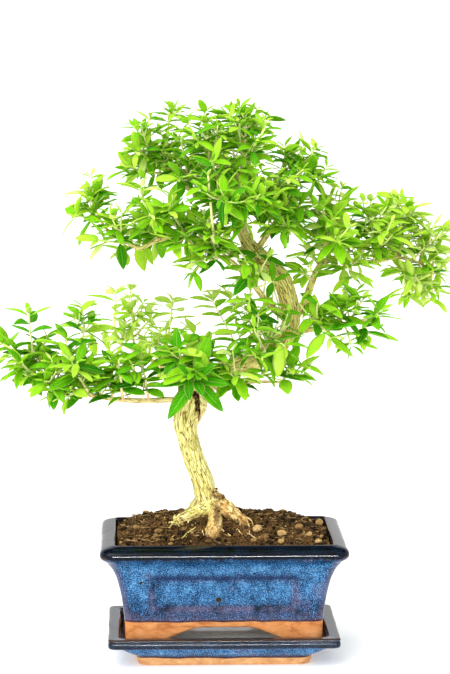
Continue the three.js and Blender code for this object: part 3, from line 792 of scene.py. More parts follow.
# Half sizes of the room in the pot at the soil's top, how far the soil sinks beside its walls, and
# how far out grit and fibres lie.
SOIL_ROOM = (86, 59)
SOIL_SINK = 3.2
GRIT_REACH = (84, 57)
FIBRE_REACH = (76, 52)

# Where the soil is heaped against the roots: x, y, height and reach.
HEAPS = [(-20, -25, 5, 8), (5, -29, 4, 7), (-40, -6, 3, 9), (22, -6, 3, 9), (-12, -52, 3, 9)]


def crumbled_height(x, y):
    """The soil's height with its crumbs."""
    p = np.column_stack([x, y, np.zeros(len(x))])
    lumps = 2.1 * noise(p, 8, 11) + 1.3 * np.abs(noise(p, 3.4, 12)) + 0.6 * noise(p, 1.6, 13)
    at_wall = smoothstep(0.78, 1.0, np.maximum(np.abs(x) / SOIL_ROOM[0], np.abs(y) / SOIL_ROOM[1]))
    heaped = sum(h * np.exp(-((x - at_x) ** 2 + (y - at_y) ** 2) / r ** 2) for at_x, at_y, h, r in HEAPS)
    return soil_height(x, y) + heaped + lumps - 0.6 - SOIL_SINK * at_wall


def make_soil():
    rng = random.Random(41)
    shape = Shape()
    rings = [upright(ring(half_x, half_y, SOIL_CORNER), z) for half_x, half_y, z in SOIL_SIDES]
    for share in np.concatenate([[1.0, 0.995], np.linspace(0.985, 0.02, 88)]):
        flat = ring(*SOIL_TOP, SOIL_CORNER) * share
        z = crumbled_height(flat[:, 0], flat[:, 1])
        rings.append(upright(flat, z - 1.2 * (share == 1.0)))
    verts, quads, tris = loft(rings)
    shape.add(verts, quads, tris, tone=0.3 + 0.15 * noise(verts * (1, 1, 0), 5, 14))

    def scatter(count, smallest, largest, detail, brightest):
        for _ in range(count):
            x, y = (rng.uniform(-reach, reach) for reach in GRIT_REACH)
            size = smallest + (largest - smallest) * rng.random() ** 2
            z = float(crumbled_height(np.array([x]), np.array([y]))[0]) + size * 0.25
            tone = rng.random() ** 2 * brightest
            shape.add(*grain((x, y, z), size, rng, detail), tone=tone)

    scatter(count=2400, smallest=0.4, largest=1.0, detail=1, brightest=1.0)
    scatter(count=440, smallest=0.9, largest=2.6, detail=2, brightest=0.75)
    strew_fibres(shape, rng, count=360)
    for x, y, size, tone in PEBBLES:
        z = float(soil_height(x, y)) + size * 0.35
        shape.add(*grain((x, y, z), size, rng, 3), tone=tone)
    new_object("potting_soil", shape.mesh("potting_soil"), [SOIL_LOOK], ["soil"])


def strew_fibres(shape, rng, count):
    """Short dry root hairs that lie on the soil."""
    steps = 6
    t = np.linspace(-0.5, 0.5, steps)
    for _ in range(count):
        x, y = (rng.uniform(-reach, reach) for reach in FIBRE_REACH)
        turn, length, bow = rng.uniform(0, math.tau), rng.uniform(3, 10), rng.uniform(-2, 2)
        line_x = x + math.cos(turn) * t * length - math.sin(turn) * bow * (1 - 4 * t * t)
        line_y = y + math.sin(turn) * t * length + math.cos(turn) * bow * (1 - 4 * t * t)
        line_z = crumbled_height(line_x, line_y).max() + 0.3 + rng.uniform(-1.2, 1.6) * t
        path = np.column_stack([line_x, line_y, line_z, np.full(steps, rng.uniform(0.14, 0.25))])
        shape.add(*tube(path, 5), tone=rng.uniform(0.3, 1.1))


# Crumbs stuck to the pot's glaze: place and size.
SPECKS = [
    (-74.9, -63.4, 84.3, 1.5), (-67, -59.6, 69.4, 1.3), (-57.4, -71.3, 93.1, 1.5),
    (-4.5, -55, 54.3, 2.2), (24.1, -62.4, 77.4, 0.9), (35, -57, 62, 0.8), (-48, -56.5, 57, 0.8),
]


def make_specks():
    rng = random.Random(5)
    shape = Shape()
    for *place, size in SPECKS:
        shape.add(*grain(place, size, rng, 2), tone=0.2)
    new_object("soil_specks", shape.mesh("soil_specks"), [SOIL_LOOK])


make_soil()


# ---------------- wood

class Limb:
    """A limb's centre line and radii, its sprays and what its leaves are like."""

    def __init__(self, path, sprays, leaf_length, gap=2.4, paler=0.0, branching=0.34, hang=0.0):
        self.path = path
        self.sprays = sprays            # how far along the limb each starts, and its stems' tips
        self.leaf_length = leaf_length
        self.gap = gap                  # how far apart the leaves keep
        self.paler = paler
        self.branching = branching      # the chance that a leaf's axil carries a side shoot
        self.hang = hang                # how much further the leaves bend down


TRUNK = [
    (-7, 2, 84, 12), (-9, 2, 102, 10.6), (-11, 1, 114, 9.8), (-12, 0, 123, 9), (-14.3, 0, 133, 9),
    (-16.6, 0, 143, 8.9), (-22.5, -1, 158, 8.8), (-27.4, -2, 174, 8.8), (-30.2, -3, 192, 9.6),
    (-28, -4, 205, 9.8), (-22, -2, 219, 9.4), (-8, 4, 227, 8.7), (6, 8, 232, 8.2), (20, 10, 237, 8),
    (34, 11, 243, 7.8), (47, 9, 253, 7.6), (55, 5, 267, 7.4), (56, 0, 282, 7.4), (53, -3, 295, 7.5),
    (48, -4, 308, 7.5), (37, -2, 320, 7.2), (26, 1, 330, 6.2), (18, 5, 342, 5), (14, 8, 356, 4.1),
    (15, 7, 375, 3.2), (17, 4, 396, 2.4), (18, 1, 416, 1.5),
]

ROOTS = [
    [
        (-10, -3, 126, 5), (-13, -8, 120.5, 5.8), (-20.8, -11, 116.8, 6.2), (-28.5, -14, 114.4, 5.8),
        (-34.5, -16.5, 112.6, 4.8), (-39, -19, 108.5, 3), (-43, -21, 103, 1.6),
    ],
    [
        (-9, -2, 133, 4.8), (-4.5, -4.5, 127, 5.6), (1.2, -7.5, 121.6, 6.4), (7.8, -11, 116.6, 6.2),
        (13.8, -15, 112.6, 5), (19, -18.5, 107.5, 3.2), (23, -21, 102, 1.8),
    ],
    [
        (-9, -7, 120, 4.4), (-6.8, -14, 115.8, 5), (-6, -21, 112, 6), (-8, -31, 107.6, 6.4),
        (-9.6, -41, 103.4, 5.8), (-7, -49, 100, 4.4), (-5, -55, 95, 2.6),
    ],
    [(-24, -12, 116, 3), (-27, -18, 113, 2.8), (-29, -25, 109.5, 2.2), (-31, -31, 105, 1.6)],
    [(-10, 2, 130, 6), (-2, 14, 117, 6), (6, 28, 107, 5), (14, 38, 98, 3.4)],
    [(-14, 2, 129, 6), (-21, 13, 117, 5.6), (-31, 26, 107, 4.2)],
]
FRONT_ROOTS = ROOTS[:4]

LIMBS = {
    "low_left": Limb([
        (-28, -4, 208, 3), (-43, -12, 211, 2.6), (-59, -18, 211, 2.3), (-77, -22, 212, 2.1),
        (-93, -24, 214, 1.9), (-105, -24, 216, 1.8), (-117, -23, 220, 1.6), (-130, -21, 224, 1.4),
        (-142, -19, 227, 1.2), (-153, -17, 235, 1),
    ], [
        (0.99, (-156, -22, 283), (-180, -12, 258)), (0.9, (-162, -40, 246)),
        (0.82, (-143, -52, 232), (-125, -45, 266)), (0.68, (-112, -28, 278)), (0.6, (-121, -62, 249)),
        (0.42, (-84, -54, 249)), (0.26, (-66, -46, 256)),
    ], leaf_length=27, gap=3.9, paler=-0.05),
    "low_back": Limb([
        (-25, 0, 217, 2.8), (-36, 12, 225, 2.3), (-50, 28, 233, 1.9), (-70, 44, 243, 1.5),
        (-90, 58, 251, 1.1),
    ], [
        (0.98, (-87, 72, 290), (-110, 74, 253)), (0.75, (-74, 52, 280), (-58, 78, 267)),
        (0.4, (-45, 62, 259), (-40, 40, 286)),
    ], leaf_length=24, gap=4.8, paler=0.22, branching=0.2),
    "low_front": Limb([
        (-25, -4, 214, 2.6), (-26, -16, 223, 2.2), (-27, -28, 231, 1.8), (-29, -40, 237, 1.3),
    ], [
        (0.97, (-36, -50, 257), (-23, -66, 241)), (0.6, (-11, -44, 256)),
    ], leaf_length=30, paler=-0.14, hang=0.35),
    "low_right": Limb([
        (-12, 4, 221, 2.2), (-5, -6, 219, 1.9), (12, -12, 224, 1.7), (32, -18, 226, 1.4),
        (49, -22, 226, 1.1),
    ], [
        (0.45, (9, -50, 239)), (0.97, (53, -36, 241)),
    ], leaf_length=27, gap=3.8, branching=0.28),
    "mid_front": Limb([
        (28, 8, 239, 2.4), (32, -6, 249, 2), (35, -20, 256, 1.7), (37, -34, 264, 1.2),
    ], [
        (0.7, (30, -56, 249), (24, -50, 274)), (0.97, (48, -54, 260)),
    ], leaf_length=26, gap=4, paler=-0.02, branching=0.25),
    "mid_right": Limb([
        (55, 4, 262, 2.8), (66, -6, 266, 2.4), (80, -16, 270, 2), (96, -24, 274, 1.6),
        (108, -28, 276, 1.1),
    ], [
        (0.4, (76, -30, 292), (85, -46, 265)), (0.7, (100, -26, 293), (103, -34, 257)),
        (0.98, (124, -30, 282), (117, -22, 264)),
    ], leaf_length=28, gap=4.6, paler=-0.08, branching=0.2),
    "right": Limb([
        (60, 0, 277, 3.6), (68, 5, 290, 3.3), (73, 10, 303, 3), (82, 18, 318, 2.7), (96, 28, 322, 2.4),
        (111, 36, 318, 2.1), (128, 43, 317, 1.8), (146, 49, 320, 1.5), (163, 54, 316, 1.2),
        (176, 57, 309, 1),
    ], [
        (0.22, (62, -26, 319)), (0.5, (106, 4, 308)), (0.66, (124, 30, 356), (139, 14, 342)),
        (0.8, (138, 66, 360), (157, 52, 358)), (0.85, (153, 58, 287), (165, 40, 300)),
        (0.92, (171, 74, 339), (177, 44, 348)), (0.99, (180, 56, 324), (177, 66, 282)),
    ], leaf_length=25, gap=3, paler=0.08, branching=0.46),
    "right_rising": Limb([
        (80, 16, 317, 2.4), (83, 14, 328, 2.1), (86, 10, 340, 1.8), (87, 6, 350, 1.3),
    ], [
        (0.97, (81, -2, 367), (100, 18, 370)), (0.55, (90, -28, 345)), (0.7, (108, 40, 342)),
    ], leaf_length=25, gap=3, paler=0.03, branching=0.42),
    "inner_left": Limb([
        (58, 2, 270, 3.6), (51, -5, 276, 3.4), (41, -11, 285, 3.1), (34, -16, 293, 2.8),
        (25, -21, 305, 2.5), (13, -27, 319, 2.2), (0, -32, 331, 1.6),
    ], [
        (0.97, (-22, -52, 327), (-10, -60, 352)), (0.6, (18, -56, 327), (20, -52, 295)),
    ], leaf_length=25, branching=0.4),
    "crown_left_low": Limb([
        (21, 4, 331, 3.2), (11, 2, 331, 3), (0, 0, 333, 2.8), (-18, -4, 338, 2.5), (-34, -7, 343, 2.2),
        (-54, -9, 340, 2), (-67, -10, 334, 1.8), (-76, -10, 338, 1.6), (-86, -10, 344, 1.3),
        (-96, -10, 352, 1),
    ], [
        (0.98, (-107, -12, 379), (-118, -26, 362)), (0.82, (-100, -34, 343), (-81, -44, 365)),
        (0.6, (-66, -30, 384), (-59, -58, 366)), (0.55, (-58, 40, 343), (-83, 16, 328)),
        (0.38, (-43, -56, 372), (-27, -54, 340)),
    ], leaf_length=24, paler=0.03),
    "crown_left_high": Limb([
        (13, 8, 352, 2.8), (2, 10, 362, 2.5), (-14, 14, 371, 2.2), (-27, 18, 380, 1.9),
        (-40, 22, 393, 1.6), (-50, 25, 406, 1.2),
    ], [
        (0.97, (-62, 22, 431), (-70, 0, 411)), (0.88, (-43, 34, 441)),
        (0.78, (-78, 38, 394), (-50, 64, 400)), (0.55, (-33, -14, 422), (-36, -44, 393)),
    ], leaf_length=22, paler=-0.02),
    "crown_mid": Limb([
        (14, 7, 365, 2.3), (5, 0, 379, 2), (-3, -8, 390, 1.7), (-10, -14, 404, 1.3),
    ], [
        (0.97, (-13, -12, 437), (-24, -38, 428)), (0.6, (-10, -60, 408)),
    ], leaf_length=22, paler=-0.06, branching=0.4),
    "crown_front": Limb([
        (15, 7, 342, 2.4), (14, -9, 353, 2.1), (9, -26, 365, 1.7), (2, -42, 374, 1.2),
    ], [
        (0.97, (-17, -74, 389), (-3, -80, 379)), (0.7, (20, -72, 381), (17, -64, 357)),
    ], leaf_length=25, paler=-0.08, branching=0.4),
    "crown_right": Limb([
        (26, 3, 328, 2.9), (34, 8, 339, 2.6), (44, 14, 353, 2.2), (54, 18, 367, 1.8), (62, 20, 382, 1.2),
    ], [
        (0.98, (66, 22, 407), (75, 8, 391)), (0.78, (52, 36, 413)), (0.6, (43, -34, 394), (34, -56, 373)),
        (0.45, (62, -20, 369), (50, -40, 354)), (0.36, (59, 52, 356)),
    ], leaf_length=24, paler=-0.06, branching=0.4),
    "crown_back": Limb([
        (13, 8, 360, 2.3), (14, 24, 368, 2), (9, 40, 377, 1.7), (1, 56, 384, 1.2),
    ], [
        (0.97, (-20, 82, 399), (2, 80, 411)), (0.65, (28, 66, 408), (27, 80, 374)),
    ], leaf_length=21),
}
APEX = Limb(TRUNK, [
    (0.9, (7, 26, 442)), (0.94, (13, -24, 435), (27, -36, 423)), (0.99, (19, 0, 443), (35, 14, 438)),
], leaf_length=21, paler=-0.04)

# The stub of a lost branch beside the hollow in the trunk's front, and the knobs of its broken end.
STUB = [
    (-22, -5, 219, 4.6), (-18.4, -7, 211, 5), (-17.2, -8, 204, 4.2), (-19.4, -8, 197, 3),
    (-21.5, -6.5, 190, 1.8),
]
STUB_KNOBS = [
    [(-17, -9, 210, 2.4), (-13.8, -11, 208.6, 2)],
    [(-17, -9, 205.5, 2.2), (-13.6, -11, 204, 1.6)],
    [(-19, -9, 214, 2.2), (-16.2, -12, 214.5, 1.7)],
]

# The hollow: its top and bottom, where its middle is at the top, how far that lies further right at
# the bottom, how deep it is and how high its right rim is.
HOLLOW_TOP = 217.5
HOLLOW_BOTTOM = 193.5
HOLLOW_X = -22
HOLLOW_LEAN = 3.1
HOLLOW_DEPTH = 4.2
HOLLOW_RIM = 0.7


def hollow_at(points):
    """How far inside the ragged hollow beside the stub each place is, and inside its raised rim."""
    x, y, z = points.T
    down = np.clip((HOLLOW_TOP - z) / (HOLLOW_TOP - HOLLOW_BOTTOM), 0, 1)
    across = (x - HOLLOW_X - HOLLOW_LEAN * down) / (0.5 + 2.6 * (1 - down) ** 0.8)
    away = np.abs(across) + 0.55 * noise(points, 3.2, 29) + 0.3 * noise(points, 1.5, 30)
    below_top = smoothstep(HOLLOW_TOP + 2, HOLLOW_TOP - 1.5, z)
    above_bottom = smoothstep(HOLLOW_BOTTOM - 2.5, HOLLOW_BOTTOM + 1.5, z)
    reach = below_top * above_bottom * smoothstep(-6, -9, y)
    rim = np.exp(-((away - 1.45) / 0.35) ** 2) * (across > 0)
    return reach * smoothstep(1.15, 0.6, away), reach * rim


def wood_paths():
    """The centre line and radius of everything woody, with the number of sides its tube takes."""
    groups = (
        ([TRUNK], 2, 48), ([STUB], 1, 16), (STUB_KNOBS, 0.8, 12), (ROOTS, 1.6, 20),
        ([limb.path for limb in LIMBS.values()], 1.5, 16),
    )
    return [(smooth_curve(path, step), sides) for paths, step, sides in groups for path in paths]


def bark_look():
    look = Look("bark", Specular_IOR_Level=0.3)
    grown = look.attribute("grain", "Vector")
    fissure, girth, scar = (look.attribute(name) for name in ("fissure", "girth", "scar"))
    x, z = look.mm.axis("X"), look.mm.axis("Z")
    streak = grown.stretched(1, 1, 0.13).noise(1.5, 4, 0.7, 0.5)
    flake = grown.stretched(1, 1, 0.4).noise(3.4, 3, 0.6, 0.8)
    stain = look.mm.noise(4.5, 3, 0.6)

    # dark lines along the grain, and cracks round plates of bark
    line = 1 - abs(grown.stretched(1, 1, 0.1).noise(1.1, 2, 0.6, 0.35) - 0.5).step(0.0, 0.08)
    wander = grown.stretched(1, 1, 0.4).noise(1 / 0.3, output="Color").stretched(2.6, 2.6, 1.6)
    bent = look.add("VectorMath", {0: grown.stretched(1, 1, 0.19), 1: wander}, operation="ADD")
    crack = 1 - bent.cell_edges(2.7).step(0.0, 0.1)
    light = streak * 0.3 + flake * 0.15 + 0.375 - fissure * 0.06 - crack * 0.26 - line * 0.2

    # pale yellow on the thick wood and browner on thin twigs
    pale = light.ramp(
        (0.24, (112, 80, 36)), (0.36, (186, 168, 80)), (0.44, (226, 215, 118)),
        (0.55, (246, 240, 154)), (0.7, (253, 251, 200)),
    )
    brown = light.ramp(
        (0.1, (96, 60, 24)), (0.28, (168, 124, 62)), (0.42, (240, 212, 140)), (0.65, (255, 244, 186)),
    )
    colour = girth.step(6.5, 2.0).mix(pale, brown)
    colour = (look.mm.noise(15).step(0.52, 0.7) * 0.35).mix(colour, (188, 176, 88))
    # painted light: the paler bark high on the trunk painted near cream, making up for the shade that the
    # crown casts there
    colour = (z.step(222, 245) * light.step(0.37, 0.5) * 0.8).mix(colour, (255, 240, 146))

    # the foot: tan roots on the right, greenish ones on the left and painted shade in the crease between
    # them, all soiled where they meet the soil
    tan = stain.ramp((0.34, (136, 86, 36)), (0.47, (222, 168, 92)), (0.62, (255, 234, 170)))
    green = stain.ramp((0.3, (164, 140, 66)), (0.44, (226, 214, 116)), (0.62, (252, 246, 176)))
    root = (x - (z - 118) * 0.6).step(-13, -7).mix(green, tan)
    root = light.step(0.26, 0.46).mix((126, 86, 46), root)
    colour = ((z + stain * 14).step(146, 133) * 0.85).mix(colour, root)
    soiled = z.step(113, 101) * stain.step(0.36, 0.54) * girth.step(1.0, 2.0)
    colour = (soiled * 0.8).mix(colour, (84, 58, 32))
    # painted shade: a dark brown band in the crease between the left and right roots
    beside = abs(x + (stain + 1.5) * 2.4).step(3.2, 1.0)
    painted_crease_shade = beside * (z.step(127, 122) * z.step(110, 115))
    colour = (painted_crease_shade * 0.75).mix(colour, (92, 62, 30))

    # dark mottled brown in the hollow
    hollow_tint = look.mm.noise(2.4, 3, 0.6).ramp((0.4, (22, 14, 7)), (0.52, (74, 50, 24)), (0.66, (172, 140, 76)))
    look.set(Base_Color=scar.mix(colour, hollow_tint), Roughness=flake.ramp((0.3, 0.7), (0.7, 0.92)))
    look.bump((light - 0.2).clamped(), 0.8, 0.4)
    return look.material


BARK_LOOK = bark_look()
WOOD_VOXEL = 0.8


def joined_wood(paths):
    """All tubes run together into one skin."""
    shape = Shape()
    for path, sides in paths:
        shape.add(*tube(path, sides))
    skin = add_object("wood", shape.mesh("wood"))
    remesh = skin.modifiers.new("remesh", "REMESH")
    remesh.mode = "VOXEL"
    remesh.voxel_size = WOOD_VOXEL * MM
    smooth = skin.modifiers.new("smooth", "SMOOTH")
    smooth.factor = 0.4
    smooth.iterations = 2
    mesh = evaluated_mesh(skin)
    bpy.data.objects.remove(skin)
    return mesh


def wood_places(points, paths):
    """For each point on the wood: its place along and round the branch it belongs to, the branch's
    radius there, and how far it is from belonging to another branch."""
    branch_offset = 400     # keeps the bark of one branch from repeating that of another
    at_once = 4000          # points that are compared in one go
    rows = []
    for number, (path, _) in enumerate(paths):
        _, side, top = path_frames(path)
        lengths = lengths_along(path) + branch_offset * number
        rows.append(np.column_stack([path, side, top, lengths, np.full(len(path), number)]))
    centre, radius, side, top, length, owner = np.split(np.vstack(rows), [3, 4, 7, 10, 11], axis=1)
    found = []
    for start in range(0, len(points), at_once):
        chunk = points[start:start + at_once]
        away = np.linalg.norm(chunk[:, None] - centre[None], axis=2) - radius.T
        best = away.argmin(1)
        other = np.where(owner.T == owner[best], 1e3, away).min(1)
        offset = chunk - centre[best]
        flat = np.stack([(offset * side[best]).sum(1), (offset * top[best]).sum(1)], 1)
        flat *= radius[best] / np.maximum(np.linalg.norm(flat, axis=1), 1e-3)[:, None]
        found.append(np.column_stack([flat, length[best], radius[best], other - away.min(1)]))
    grown, girth, margin = np.split(np.vstack(found), [3, 4], axis=1)
    return grown, girth[:, 0], margin[:, 0]


def vertex_vectors(mesh, field):
    values = np.empty(len(mesh.vertices) * 3)
    mesh.vertices.foreach_get(field, values)
    return values.reshape(-1, 3)


def make_wood():
    paths = wood_paths()
    mesh = joined_wood(paths)
    points, normals = vertex_vectors(mesh, "co") / MM, vertex_vectors(mesh, "normal")
    grown, girth, margin = wood_places(points, paths)

    warped = grown + 1.2 * np.column_stack([noise(points, 9, 25), noise(points, 9, 26), 0 * girth])
    furrow = np.clip(1 - np.abs(noise(warped, (3.0, 3.0, 22), 21)) * 2.4, 0, 1)
    fine = np.clip(1 - np.abs(noise(warped, (1.9, 1.9, 10), 22)) * 2.2, 0, 1)
    fissure = smoothstep(0.4, 1.0, furrow) * 0.65 + smoothstep(0.4, 1.0, fine) * 0.5
    turned = np.column_stack([grown[:, :2] / np.maximum(girth, 1)[:, None] * 3, grown[:, 2] / 26])
    flute = noise(turned, 1.7, 23)
    low = smoothstep(138, 122, points[:, 2])
    knobs = noise(points, 8, 24) * (1 + 2.4 * low)
    knobs = knobs + 2.6 * low * noise(points, 3.6, 27) + 0.8 * low * noise(points, 1.9, 28)
    calm = smoothstep(0.0, 2.5, margin) * 0.75 + 0.25
    hollow, callus = hollow_at(points)
    relief = girth * (0.1 * flute - 0.06 * fissure + 0.05 * knobs + 0.03) * calm
    relief += callus * HOLLOW_RIM - hollow * HOLLOW_DEPTH
    points += normals * relief[:, None]

    mesh.vertices.foreach_set("co", (points * MM).ravel())
    mesh.update()
    scar = smoothstep(0.15, 0.6, hollow)
    for name, values in (("grain", grown), ("fissure", fissure), ("girth", girth), ("scar", scar)):
        set_values(mesh, name, values)
    mesh.materials.clear()
    new_object("trunk_wood", mesh, [BARK_LOOK], ["trunk_and_limbs"])
    return np.vstack([path for path, _ in paths])


WOOD = make_wood()

FINE_ROOTS = [
    [(13, -18, 112), (19.1, -20, 111), (21, -30, 106.5), (21.1, -42, 102), (25.7, -50, 99)],
    [(16.4, -14, 116), (22.6, -20, 113), (24.5, -28, 108)],
    [(3.1, -24, 110.5), (10.6, -34, 107), (14.9, -42, 104)],
    [(-2.1, -34, 107.5), (2.6, -40, 105), (5.6, -46, 102.5)],
    [(13.5, -18, 111.5), (14, -24, 109), (12.5, -32, 107)],
    [(-39.2, -16, 116), (-39.9, -20, 112), (-44.1, -30, 108)],
    [(-44, -22, 111.5), (-38.3, -22, 111.5), (-36, -28, 109)],
    [(-14, -30, 109), (-17, -36, 107), (-16, -42, 105)],
    [(-20, -30, 109), (-28, -38, 107), (-34, -47, 103)],
    [(-22, -16, 114), (-20, -24, 111), (-24, -31, 108)],
    [(6, 26, 112), (18, 34, 108), (26, 44, 102)],
]


def make_fine_roots():
    rng = random.Random(8)
    shape = Shape()
    for route in FINE_ROOTS:
        above_soil = [(x, y, max(z, float(soil_height(x, y)) + 1.2)) for x, y, z in route]
        line = smooth_curve(above_soil, 2)
        radius = np.linspace(0.95, 0.4, len(line)) * rng.uniform(0.8, 1.15)
        wave = np.array([[rng.uniform(-0.4, 0.4) for _ in range(3)] for _ in line])
        verts, quads, tris = tube(np.column_stack([line + wave, radius]), 7)
        shape.add(verts, quads, tris, grain=verts, fissure=0.0, girth=0.5, scar=0.0)
    new_object("fine_roots", shape.mesh("fine_roots"), [BARK_LOOK])


# Crumbs on each front root and below which height, and crumbs round the fork of the roots, by its
# middle and spread in x, y and z.
CRUMBS_A_ROOT = 85
CRUMBS_BELOW = 124
CRUMBS_AT_FORK = 260
ROOT_FORK = [(-4, 3.4), (-6, 2.5), (130, 3)]


def make_root_crumbs():
    """Soil and flakes of bark that cling to the roots and to the foot of the trunk."""
    rng = random.Random(9)
    shape = Shape()
    for root in FRONT_ROOTS:
        path = smooth_curve(root, 1.0)
        _, side, top = path_frames(path)
        for _ in range(CRUMBS_A_ROOT):
            i = int((len(path) - 1) * rng.random() ** 0.6)
            angle = rng.uniform(0, math.tau)
            out = side[i] * math.cos(angle) + top[i] * math.sin(angle)
            if out[2] < -0.2 or path[i, 2] > CRUMBS_BELOW:
                continue
            size = 0.3 + 0.9 * rng.random() ** 2
            crumb = grain(path[i, :3] + out * path[i, 3], size, rng, 1)
            shape.add(*crumb, tone=0.3 + 0.7 * rng.random())
    for _ in range(CRUMBS_AT_FORK):
        place = np.array([rng.gauss(middle, spread) for middle, spread in ROOT_FORK])
        above = (np.linalg.norm(WOOD[:, :3] - place, axis=1) - WOOD[:, 3]).min()
        if -0.8 < above < 0.7:
            shape.add(*grain(place, rng.uniform(0.7, 1.6), rng, 1), tone=rng.uniform(0.35, 1.1))
    new_object("root_crumbs", shape.mesh("root_crumbs"), [SOIL_LOOK])


make_fine_roots()
make_root_crumbs()
make_specks()


# ---------------- leaves

LEAF_ROWS = np.array([0.05, 0.2, 0.38, 0.57, 0.76, 0.91])
LEAF_WIDTHS = np.array([0.13, 0.66, 0.97, 1.0, 0.74, 0.36])
LEAF_COLUMNS = np.array([-1, -0.5, 0, 0.5, 1.0])
LEAF_THICKNESS = 0.32


def leaf_pattern():
    """A leaf's vertices as (along, across, underside) and its faces, shared by all leaves."""
    top = [(t, u, 0) for t in LEAF_ROWS for u in LEAF_COLUMNS]
    bottom = [(t, u, 1) for t in LEAF_ROWS for u in LEAF_COLUMNS[1:-1]]
    verts = top + bottom + [(0, 0, 0), (1, 0, 0)]
    last, base, tip = len(LEAF_ROWS) - 1, len(verts) - 2, len(verts) - 1
    columns = len(LEAF_COLUMNS)

    def upper(r, c):
        return r * columns + c

    def lower(r, c):
        return upper(r, c) if c in (0, columns - 1) else len(top) + r * (columns - 2) + c - 1

    quads, tris = [], []
    for c in range(columns - 1):
        for r in range(last):
            quads.append((upper(r, c), upper(r, c + 1), upper(r + 1, c + 1), upper(r + 1, c)))
            quads.append((lower(r, c), lower(r + 1, c), lower(r + 1, c + 1), lower(r, c + 1)))
        tris.append((base, upper(0, c + 1), upper(0, c)))
        tris.append((base, lower(0, c), lower(0, c + 1)))
        tris.append((tip, upper(last, c), upper(last, c + 1)))
        tris.append((tip, lower(last, c + 1), lower(last, c)))
    return np.array(verts, float), np.array(quads), np.array(tris)


LEAF, LEAF_QUADS, LEAF_TRIS = leaf_pattern()


def leaf_verts(leaves):
    """The vertices of many leaves at once, from their bases, directions, sizes and bends."""
    base, along, up, numbers = (np.array(column) for column in zip(*leaves))
    length, width, fold, bend, twist, wave, _ = (c[:, None] for c in numbers.T)
    side = np.cross(along, up)
    t, u, under = (column[None] for column in LEAF.T)
    half = 0.5 * width * np.interp(t, [0, *LEAF_ROWS, 1], [0, *LEAF_WIDTHS, 0])
    arc = bend * t
    y = length * np.sin(arc) / bend
    drop = length * (1 - np.cos(arc)) / bend
    x = u * half * np.cos(fold)
    lift = half * (np.abs(u) * np.sin(fold) - 0.12 * u ** 4)
    lift = lift + wave * half * np.sin(7 * t + 2 * u) * np.abs(u)
    lift = lift - under * LEAF_THICKNESS * (1.3 - np.abs(u))
    turn = twist * t
    across, raised = x * np.cos(turn) - lift * np.sin(turn), x * np.sin(turn) + lift * np.cos(turn)
    return (
        base[:, None]
        + along[:, None] * (y + raised * np.sin(arc))[..., None]
        + up[:, None] * (-drop + raised * np.cos(arc))[..., None]
        + side[:, None] * across[..., None]
    )


def leaf_look():
    look = Look(
        "serissa_leaf", Specular_IOR_Level=0.03, Subsurface_Weight=0.5, Subsurface_Scale=0.001,
        Subsurface_Radius=(1.0, 1.2, 0.3),
    )
    tone, across, along, under = (look.attribute(name) for name in ("tone", "across", "along", "under"))
    blade = (tone + (look.mm.noise(9) - 0.5) * 0.25).clamped().ramp(
        (0.0, (20, 108, 0)), (0.24, (62, 150, 0)), (0.48, (126, 192, 10)), (0.74, (180, 222, 64)),
        (1.0, (232, 248, 170)),
    )
    width = abs(across)
    rib = 1 - width.step(0.03, 0.12)
    vein = (along * 9 - width * 2.2).math("PINGPONG", 0.5)
    blade = (rib * 0.24).mix(blade, (196, 226, 112))
    blade = ((1 - vein.step(0.0, 0.14)) * 0.22).mix(blade, (150, 208, 80))
    blade = (width.step(0.78, 0.98) * 0.25).mix(blade, (220, 244, 140))
    # painted glow: undersides painted paler and yellower, standing in for light that shines through the
    # leaf
    blade = (under * 0.24).mix(blade, (180, 226, 60))
    look.set(Base_Color=blade, Roughness=look.mm.noise(4).ramp((0.3, 0.45), (0.7, 0.62)))
    look.bump(vein.step(0.0, 0.3) * 0.5 - rib, 0.5, 0.25)
    return look.material


def stem_look():
    look = Look("green_stem", Specular_IOR_Level=0.3)
    streak = look.mm.stretched(1, 1, 0.35).noise(1.2, 3)
    colour = (look.attribute("tone") + (streak - 0.5) * 0.3).clamped().ramp(
        (0.0, (196, 152, 92)), (0.3, (246, 226, 160)), (0.6, (254, 248, 178)), (1.0, (232, 244, 140)),
    )
    look.set(Base_Color=colour, Roughness=streak.ramp((0.3, 0.5), (0.7, 0.75)))
    look.bump(streak, 0.5, 0.15)
    return look.material


LEAF_LOOK = leaf_look()
STEM_LOOK = stem_look()


# ---------------- shoots

# Leaf pairs of a shoot: how far from its tip, how long against the shoot's leaf length, and how many
# degrees from the stem's direction they spread.
PAIRS = [
    (0.5, 0.5, 38), (2.6, 0.92, 60), (9, 1.05, 70), (17.5, 1.0, 76), (27, 0.95, 80), (37, 0.88, 84),
    (48, 0.8, 86),
]

STEM_STEP = 2.5

# Where along a leaf its room is tested, and how far it keeps from the wood.
LEAF_SPOTS = (0.45, 0.7, 0.96)
WOOD_GAP = 0.9

# Points of the leaves so far, by the cell of space that they are in.
CELL = 5.0
CELL_AND_NEIGHBOURS = list(itertools.product((-1, 0, 1), repeat=3))
taken = {}


def cell_of(point):
    return tuple(int(math.floor(c / CELL)) for c in point)


def take(point):
    taken.setdefault(cell_of(point), []).append(point)


def has_room(points, gap):
    """Whether the points keep clear of the leaves so far and of the wood."""
    for p in points:
        cx, cy, cz = cell_of(p)
        for dx, dy, dz in CELL_AND_NEIGHBOURS:
            for q in taken.get((cx + dx, cy + dy, cz + dz), ()):
                if (q[0] - p[0]) ** 2 + (q[1] - p[1]) ** 2 + (q[2] - p[2]) ** 2 < gap ** 2:
                    return False
    away = np.linalg.norm(WOOD[None, :, :3] - np.array(points)[:, None], axis=2) - WOOD[None, :, 3]
    return away.min() > WOOD_GAP


